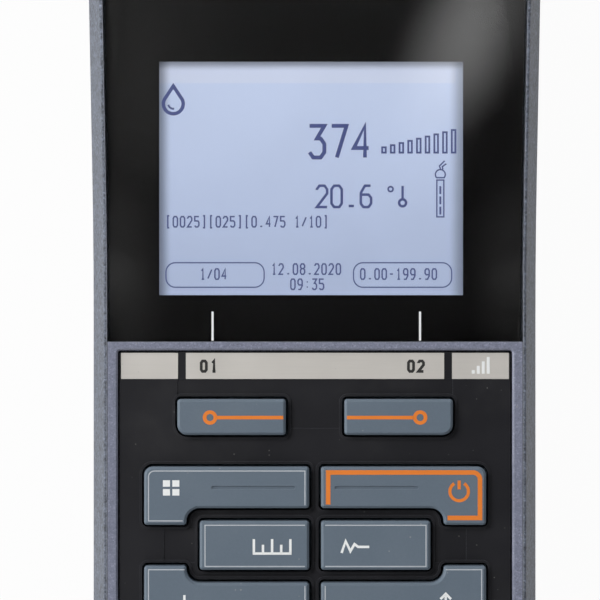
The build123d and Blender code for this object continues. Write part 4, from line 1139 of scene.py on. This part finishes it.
@dataclass(frozen=True)
class KeyMarks:
    """White and orange prints on the keys. Each print rides on its own key."""

    face: Face
    level: float = 1.2
    line: float = 0.18
    bold: float = 0.42
    thickness: float = 0.015
    outer: float = 28.3
    inner: float = 1.72
    upper: float = -21.98
    upper_foot: float = -30.46
    middle: float = -31.2
    middle_foot: float = -38.2
    lower: float = -38.75
    lower_foot: float = -47.3

    def build(self) -> None:
        """Marks of every key."""
        self.soft_keys()
        self.power()
        self.outlines()
        self.signs()
        self.arrows()

    def pen(self) -> Pen:
        """Pen on the top of the keys."""
        return Pen(self.face, self.level, self.thickness)

    def soft_keys(self) -> None:
        """Ring and line on each soft key."""
        row, ring, line_start, line_end = -12.9, 17.85, 16.72, 5.4
        radius, ring_line, bar_line = 0.92, 0.62, 0.6
        for side, name in ((-1, "soft_key_left"), (1, "soft_key_right")):
            pen = self.pen()
            pen.stroke(circle((side * ring, row), radius, 32), ring_line, closed=True)
            pen.stroke([(side * line_start, row), (side * line_end, row)], bar_line)
            pen.piece(f"{name}_mark", PRINT_ORANGE, name)

    def power(self) -> None:
        """Orange frame and standby sign on the power key."""
        pen = self.pen()
        left, right, top, foot = 2.23, 28.02, -22.23, -29.95
        frame_line, ring_line, bar_line = 0.78, 0.52, 0.55
        corner = rounded([(left, top), (right, top), (right, foot)], 1.2)
        pen.stroke([(left, -27.68), *corner, (22.5, foot)], frame_line)
        sign_x, sign_y = 24.48, -25.45
        pen.stroke(arc((sign_x, sign_y), radius=1.58, start=122, end=418, steps=32), ring_line)
        pen.stroke([(sign_x, -23.6), (sign_x, -25.1)], bar_line)
        pen.piece("power_key_mark", PRINT_ORANGE, "power_key")

    def outlines(self) -> None:
        """Fine white outlines, open where two keys meet."""
        outer, inner = self.outer, self.inner
        top, top_foot, low, low_foot = self.upper, self.upper_foot, self.lower, self.lower_foot
        corner = rounded([(-outer, top_foot), (-outer, top), (-inner, top)], 1.0)
        paths = {
            "mode_key": [(-22.5, top_foot), *corner, (-inner, -27.8)],
            "calibrate_key": [(-inner, self.middle), (-18.7, self.middle), (-18.7, self.middle_foot),
                              (-inner, self.middle_foot)],
            "hold_key": [(inner, self.middle), (18.85, self.middle), (18.85, self.middle_foot),
                         (inner, self.middle_foot)],
            "store_key": [(-22.2, low), (-outer, low), (-outer, low_foot), (-inner, low_foot),
                          (-inner, -41.5)],
            "recall_key": [(22.2, low), (outer, low), (outer, low_foot), (inner, low_foot), (inner, -41.5)],
        }
        for name, path in paths.items():
            pen = self.pen()
            pen.stroke(path, self.line)
            pen.piece(f"{name}_outline", PRINT_PALE, name)

    def signs(self) -> None:
        """Simple signs in the places of the key legends."""
        pen = self.pen()
        for x in (-25.85, -24.25):
            for y in (-26.15, -24.65):
                pen.box(x, y, x + 1.2, y + 1.1)
        pen.piece("mode_key_sign", PRINT_WHITE, "mode_key")
        pen = self.pen()
        foot, first, pitch, long_mark, short_mark = -36.0, -10.4, 1.55, 2.45, 1.5
        pen.stroke([(-10.6, foot), (-4.0, foot)], self.bold)
        for step in range(5):
            x = first + pitch * step
            height = short_mark if step % 2 else long_mark
            pen.stroke([(x, foot), (x, foot + height)], self.bold)
        pen.piece("calibrate_key_sign", PRINT_WHITE, "calibrate_key")
        pen = self.pen()
        wave = [(4.5, -35.9), (5.2, -33.9), (6.0, -35.6), (6.7, -34.4), (7.3, -34.87), (9.2, -34.87)]
        pen.stroke(wave, self.bold)
        pen.piece("hold_key_sign", PRINT_WHITE, "hold_key")
        half, wall, head = 2.1, 1.1, 0.9
        for side, name in ((-1, "store_key"), (1, "recall_key")):
            pen = self.pen()
            x, low = side * 22.2, -45.6
            tray = [(x - half, low + wall), (x - half, low), (x + half, low), (x + half, low + wall)]
            pen.stroke(tray, self.bold)
            pen.stroke([(x, low + 0.8), (x, low + 2.55)], self.bold)
            tip = low + (2.75 if side > 0 else 0.6)
            pen.stroke([(x - head, tip - side * head), (x, tip), (x + head, tip - side * head)], self.bold)
            pen.piece(f"{name}_sign", PRINT_WHITE, name)

    def arrows(self) -> None:
        """Arrow heads on the four direction keys, and a bent arrow on the enter key."""
        half, long = 1.5, 2.0
        head = [(-long / 2, -half), (long / 2, 0), (-long / 2, half)]
        for name, x, y, degrees in (("up_key", 0, -55.6, 90), ("left_key", -20.3, -65.35, 180),
                                    ("right_key", 20.3, -65.35, 0), ("down_key", 0, -75.1, 270)):
            pen = self.pen()
            c, s = cos(radians(degrees)), sin(radians(degrees))
            pen.stroke([(x + c * px - s * py, y + s * px + c * py) for px, py in head], self.bold, True)
            pen.piece(f"{name}_sign", PRINT_WHITE, name)
        pen = self.pen()
        pen.stroke([(2.0, -64.0), (2.0, -65.9), (-1.7, -65.9)], self.bold)
        pen.stroke([(-0.9, -65.0), (-1.9, -65.9), (-0.9, -66.8)], self.bold)
        pen.piece("enter_key_sign", PRINT_WHITE, "enter_key")


@dataclass(frozen=True)
class Casework:
    """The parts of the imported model, each with the finish of its material slot."""

    face: Face

    def dress(self) -> None:
        """Give every part its finish."""
        by_slot = finishes(self.face)
        for part in frame["record"]["subparts"]:
            node, slot = part["node"], part["material_slot"]
            material = by_slot[slot].material()
            piece = frame["nodes"][node]
            if not piece.material_slots:
                piece.data.materials.append(material)
            for holder in piece.material_slots:
                holder.material = material
            LOG.info("%s: finish %s", node, slot)


@dataclass(frozen=True)
class Lamp:
    """A square soft box, placed in metres and turned towards the meter."""

    name: str
    place: tuple[float, float, float]
    size: float
    power: float
    tint: Colour = (1.0, 1.0, 1.0)

    def build(self) -> None:
        """Add the lamp."""
        light = bpy.data.lights.new(self.name, "AREA")
        light.shape = "SQUARE"
        light.size = self.size
        light.energy = self.power
        light.color = self.tint
        lamp = bpy.data.objects.new(self.name, light)
        lamp.location = self.place
        lamp.rotation_euler = (-Vector(self.place)).to_track_quat("-Z", "Y").to_euler()
        bpy.context.scene.collection.objects.link(lamp)


@dataclass(frozen=True)
class Patch:
    """Soft oval of light on the reflector, in millimetres."""

    centre: Point
    radii: Point
    turn: float
    strength: float

    def glow(self, graph: Graph, place: NodeInput) -> Socket:
        """Brightness of the patch at a place on the panel.

        Args:
            graph: the panel's tree.
            place: socket with the place in millimetres.

        Returns:
            Socket with the brightness.
        """
        spot = graph.add("ShaderNodeMapping", vector_type="TEXTURE")
        graph.feed(spot.inputs["Vector"], place)
        spot.inputs["Location"].default_value = (*self.centre, 0.0)
        spot.inputs["Rotation"].default_value = (0.0, 0.0, radians(self.turn))
        spot.inputs["Scale"].default_value = (*self.radii, 1.0)
        reach = graph.add("ShaderNodeVectorMath", operation="LENGTH")
        graph.feed(reach.inputs[0], spot.outputs[0])
        return graph.span(reach.outputs["Value"], 0.0, 1.0, self.strength, 0.0)


@dataclass(frozen=True)
class Studio:
    """White floor, plain soft light and the camera of the photograph."""

    face: Face
    floor_size: float = 6.0
    floor_level: float = -0.0006
    floor_grey: float = 0.5
    floor_glow: float = 0.965
    aim: Point = (-2.56, 7.07)
    distance: float = 450.0
    field: float = 102.2
    sensor: float = 36.0
    near_clip: float = 0.01
    sky: float = 0.16
    ceiling_edge: Point = (0.55, 0.9)
    ceiling_level: float = 0.03
    panel_half: float = 400.0
    panel_height: float = 1000.0
    patches: tuple[Patch, ...] = (
        Patch((93.0, 158.0), (40.0, 88.0), -27.0, 1.7),
        Patch((-104.0, 139.0), (80.0, 120.0), 0.0, 0.1),
        Patch((-104.0, 26.0), (32.0, 64.0), 10.0, 0.26),
        Patch((113.0, 24.0), (28.0, 64.0), 0.0, 0.16),
    )
    lamps: tuple[Lamp, ...] = (
        Lamp("lamp_left_high", (-0.62, 0.35, 0.95), 0.5, 10.8),
        Lamp("lamp_left_low", (-1.2, 0.0, 0.35), 0.5, 5.0),
        Lamp("lamp_foot", (0.0, -1.3, 0.7), 0.8, 3.0),
        Lamp("lamp_head", (0.1, 1.3, 0.8), 0.8, 3.0),
    )

    def build(self) -> None:
        """Floor, world, lamps and camera."""
        self.floor()
        self.world()
        self.reflector()
        for lamp in self.lamps:
            lamp.build()
        self.camera()
        bpy.context.scene.view_settings.view_transform = "Standard"

    def background_share(self, graph: Graph) -> Socket:
        """One for camera, glossy and transmission rays, and nought for the others.

        Args:
            graph: tree in which it is worked out.

        Returns:
            Socket with the share.
        """
        paths = graph.add("ShaderNodeLightPath")
        share = graph.math("MAXIMUM", paths.outputs["Is Camera Ray"], paths.outputs["Is Glossy Ray"])
        return graph.math("MAXIMUM", share, paths.outputs["Is Transmission Ray"])

    def floor(self) -> None:
        """White floor that keeps a faint shadow and is open from below."""
        half = self.floor_size / 2
        corners = [(-half, -half), (half, -half), (half, half), (-half, half)]
        mesh = bpy.data.meshes.new("floor")
        mesh.from_pydata([(x, y, self.floor_level) for x, y in corners], [], [(0, 1, 2, 3)])
        material = bpy.data.materials.new("floor_white")
        material.use_nodes = True
        graph = Graph(material.node_tree)
        material.node_tree.nodes.clear()
        paper = graph.add("ShaderNodeBsdfDiffuse")
        paper.inputs["Color"].default_value = (*[self.floor_grey] * 3, 1.0)
        white = graph.add("ShaderNodeEmission")
        white.inputs["Strength"].default_value = 1.0
        seen = graph.add("ShaderNodeMixShader")
        share = graph.math("MULTIPLY", self.background_share(graph), self.floor_glow)
        graph.feed(seen.inputs[0], share)
        graph.feed(seen.inputs[1], paper.outputs[0])
        graph.feed(seen.inputs[2], white.outputs[0])
        open_below = graph.add("ShaderNodeMixShader")
        graph.feed(open_below.inputs[0], graph.add("ShaderNodeNewGeometry").outputs["Backfacing"])
        graph.feed(open_below.inputs[1], seen.outputs[0])
        graph.feed(open_below.inputs[2], graph.add("ShaderNodeBsdfTransparent").outputs[0])
        end = graph.add("ShaderNodeOutputMaterial")
        graph.feed(end.inputs["Surface"], open_below.outputs[0])
        mesh.materials.append(material)
        floor = bpy.data.objects.new("floor", mesh)
        bpy.context.scene.collection.objects.link(floor)

    def world(self) -> None:
        """White surroundings to the eye, with a dim ceiling that the window reflects."""
        world = bpy.data.worlds.new("studio")
        world.use_nodes = True
        bpy.context.scene.world = world
        graph = Graph(world.node_tree)
        background = next(node for node in world.node_tree.nodes if node.type == "BACKGROUND")
        paths = graph.add("ShaderNodeLightPath")
        parts = graph.add("ShaderNodeSeparateXYZ")
        graph.feed(parts.inputs[0], graph.add("ShaderNodeTexCoord").outputs["Generated"])
        mirrored = graph.math("MAXIMUM", paths.outputs["Is Glossy Ray"], paths.outputs["Is Transmission Ray"])
        ceiling = graph.span(parts.outputs["Z"], *self.ceiling_edge, 1.0, self.ceiling_level)
        level = graph.math("ADD", graph.math("MULTIPLY", mirrored, ceiling), paths.outputs["Is Camera Ray"])
        diffuse = graph.math("SUBTRACT", 1.0, graph.math("MINIMUM", self.background_share(graph), 1.0))
        sky = graph.math("MULTIPLY", diffuse, self.sky)
        strength = graph.math("ADD", graph.math("MINIMUM", level, 1.0), sky)
        background.inputs["Color"].default_value = (1.0, 1.0, 1.0, 1.0)
        graph.feed(background.inputs["Strength"], strength)

    def reflector(self) -> None:
        """Dim panel high above the meter, whose soft patches show in the window."""
        half = self.panel_half
        corners = [(-half, -half), (half, -half), (half, half), (-half, half)]
        mesh = bpy.data.meshes.new("reflector")
        mesh.from_pydata([self.face.place(x, y, self.panel_height) for x, y in corners], [], [(0, 1, 2, 3)])
        layer = mesh.uv_layers.new(name="panel")
        for loop, place in zip(layer.data, corners):
            loop.uv = place
        material = bpy.data.materials.new("reflector")
        material.use_nodes = True
        graph = Graph(material.node_tree)
        material.node_tree.nodes.clear()
        place = graph.add("ShaderNodeTexCoord").outputs["UV"]
        total = 0.0
        for patch in self.patches:
            total = graph.math("ADD", total, patch.glow(graph, place))
        glow = graph.add("ShaderNodeEmission")
        graph.feed(glow.inputs["Strength"], total)
        end = graph.add("ShaderNodeOutputMaterial")
        graph.feed(end.inputs["Surface"], glow.outputs[0])
        mesh.materials.append(material)
        panel = bpy.data.objects.new("reflector", mesh)
        bpy.context.scene.collection.objects.link(panel)
        panel.visible_camera = False

    def camera(self) -> None:
        """Camera square to the front, at the place that the photograph shows."""
        data = bpy.data.cameras.new("camera")
        data.sensor_width = self.sensor
        data.lens = self.sensor * self.distance / self.field
        data.clip_start = self.near_clip
        camera = bpy.data.objects.new("camera", data)
        up = self.face.up()
        turn = Matrix((Vector((1, 0, 0)), up, self.face.normal)).transposed()
        camera.matrix_world = Matrix.Translation(self.face.place(*self.aim, self.distance)) @ turn.to_4x4()
        bpy.context.scene.collection.objects.link(camera)
        bpy.context.scene.camera = camera


def main() -> None:
    """Dress the meter, add its marks and set up the studio."""
    logging.basicConfig(level=logging.INFO, format="%(name)s: %(message)s")
    face = Face.from_model()
    LOG.info("face normal %s, seam %s", tuple(face.normal), tuple(face.seam))
    Casework(face).dress()
    Readout(face).build()
    WindowMarks(face).build()
    StripMarks(face).build()
    KeyMarks(face).build()
    Studio(face).build()


if __name__ == "__main__":
    main()
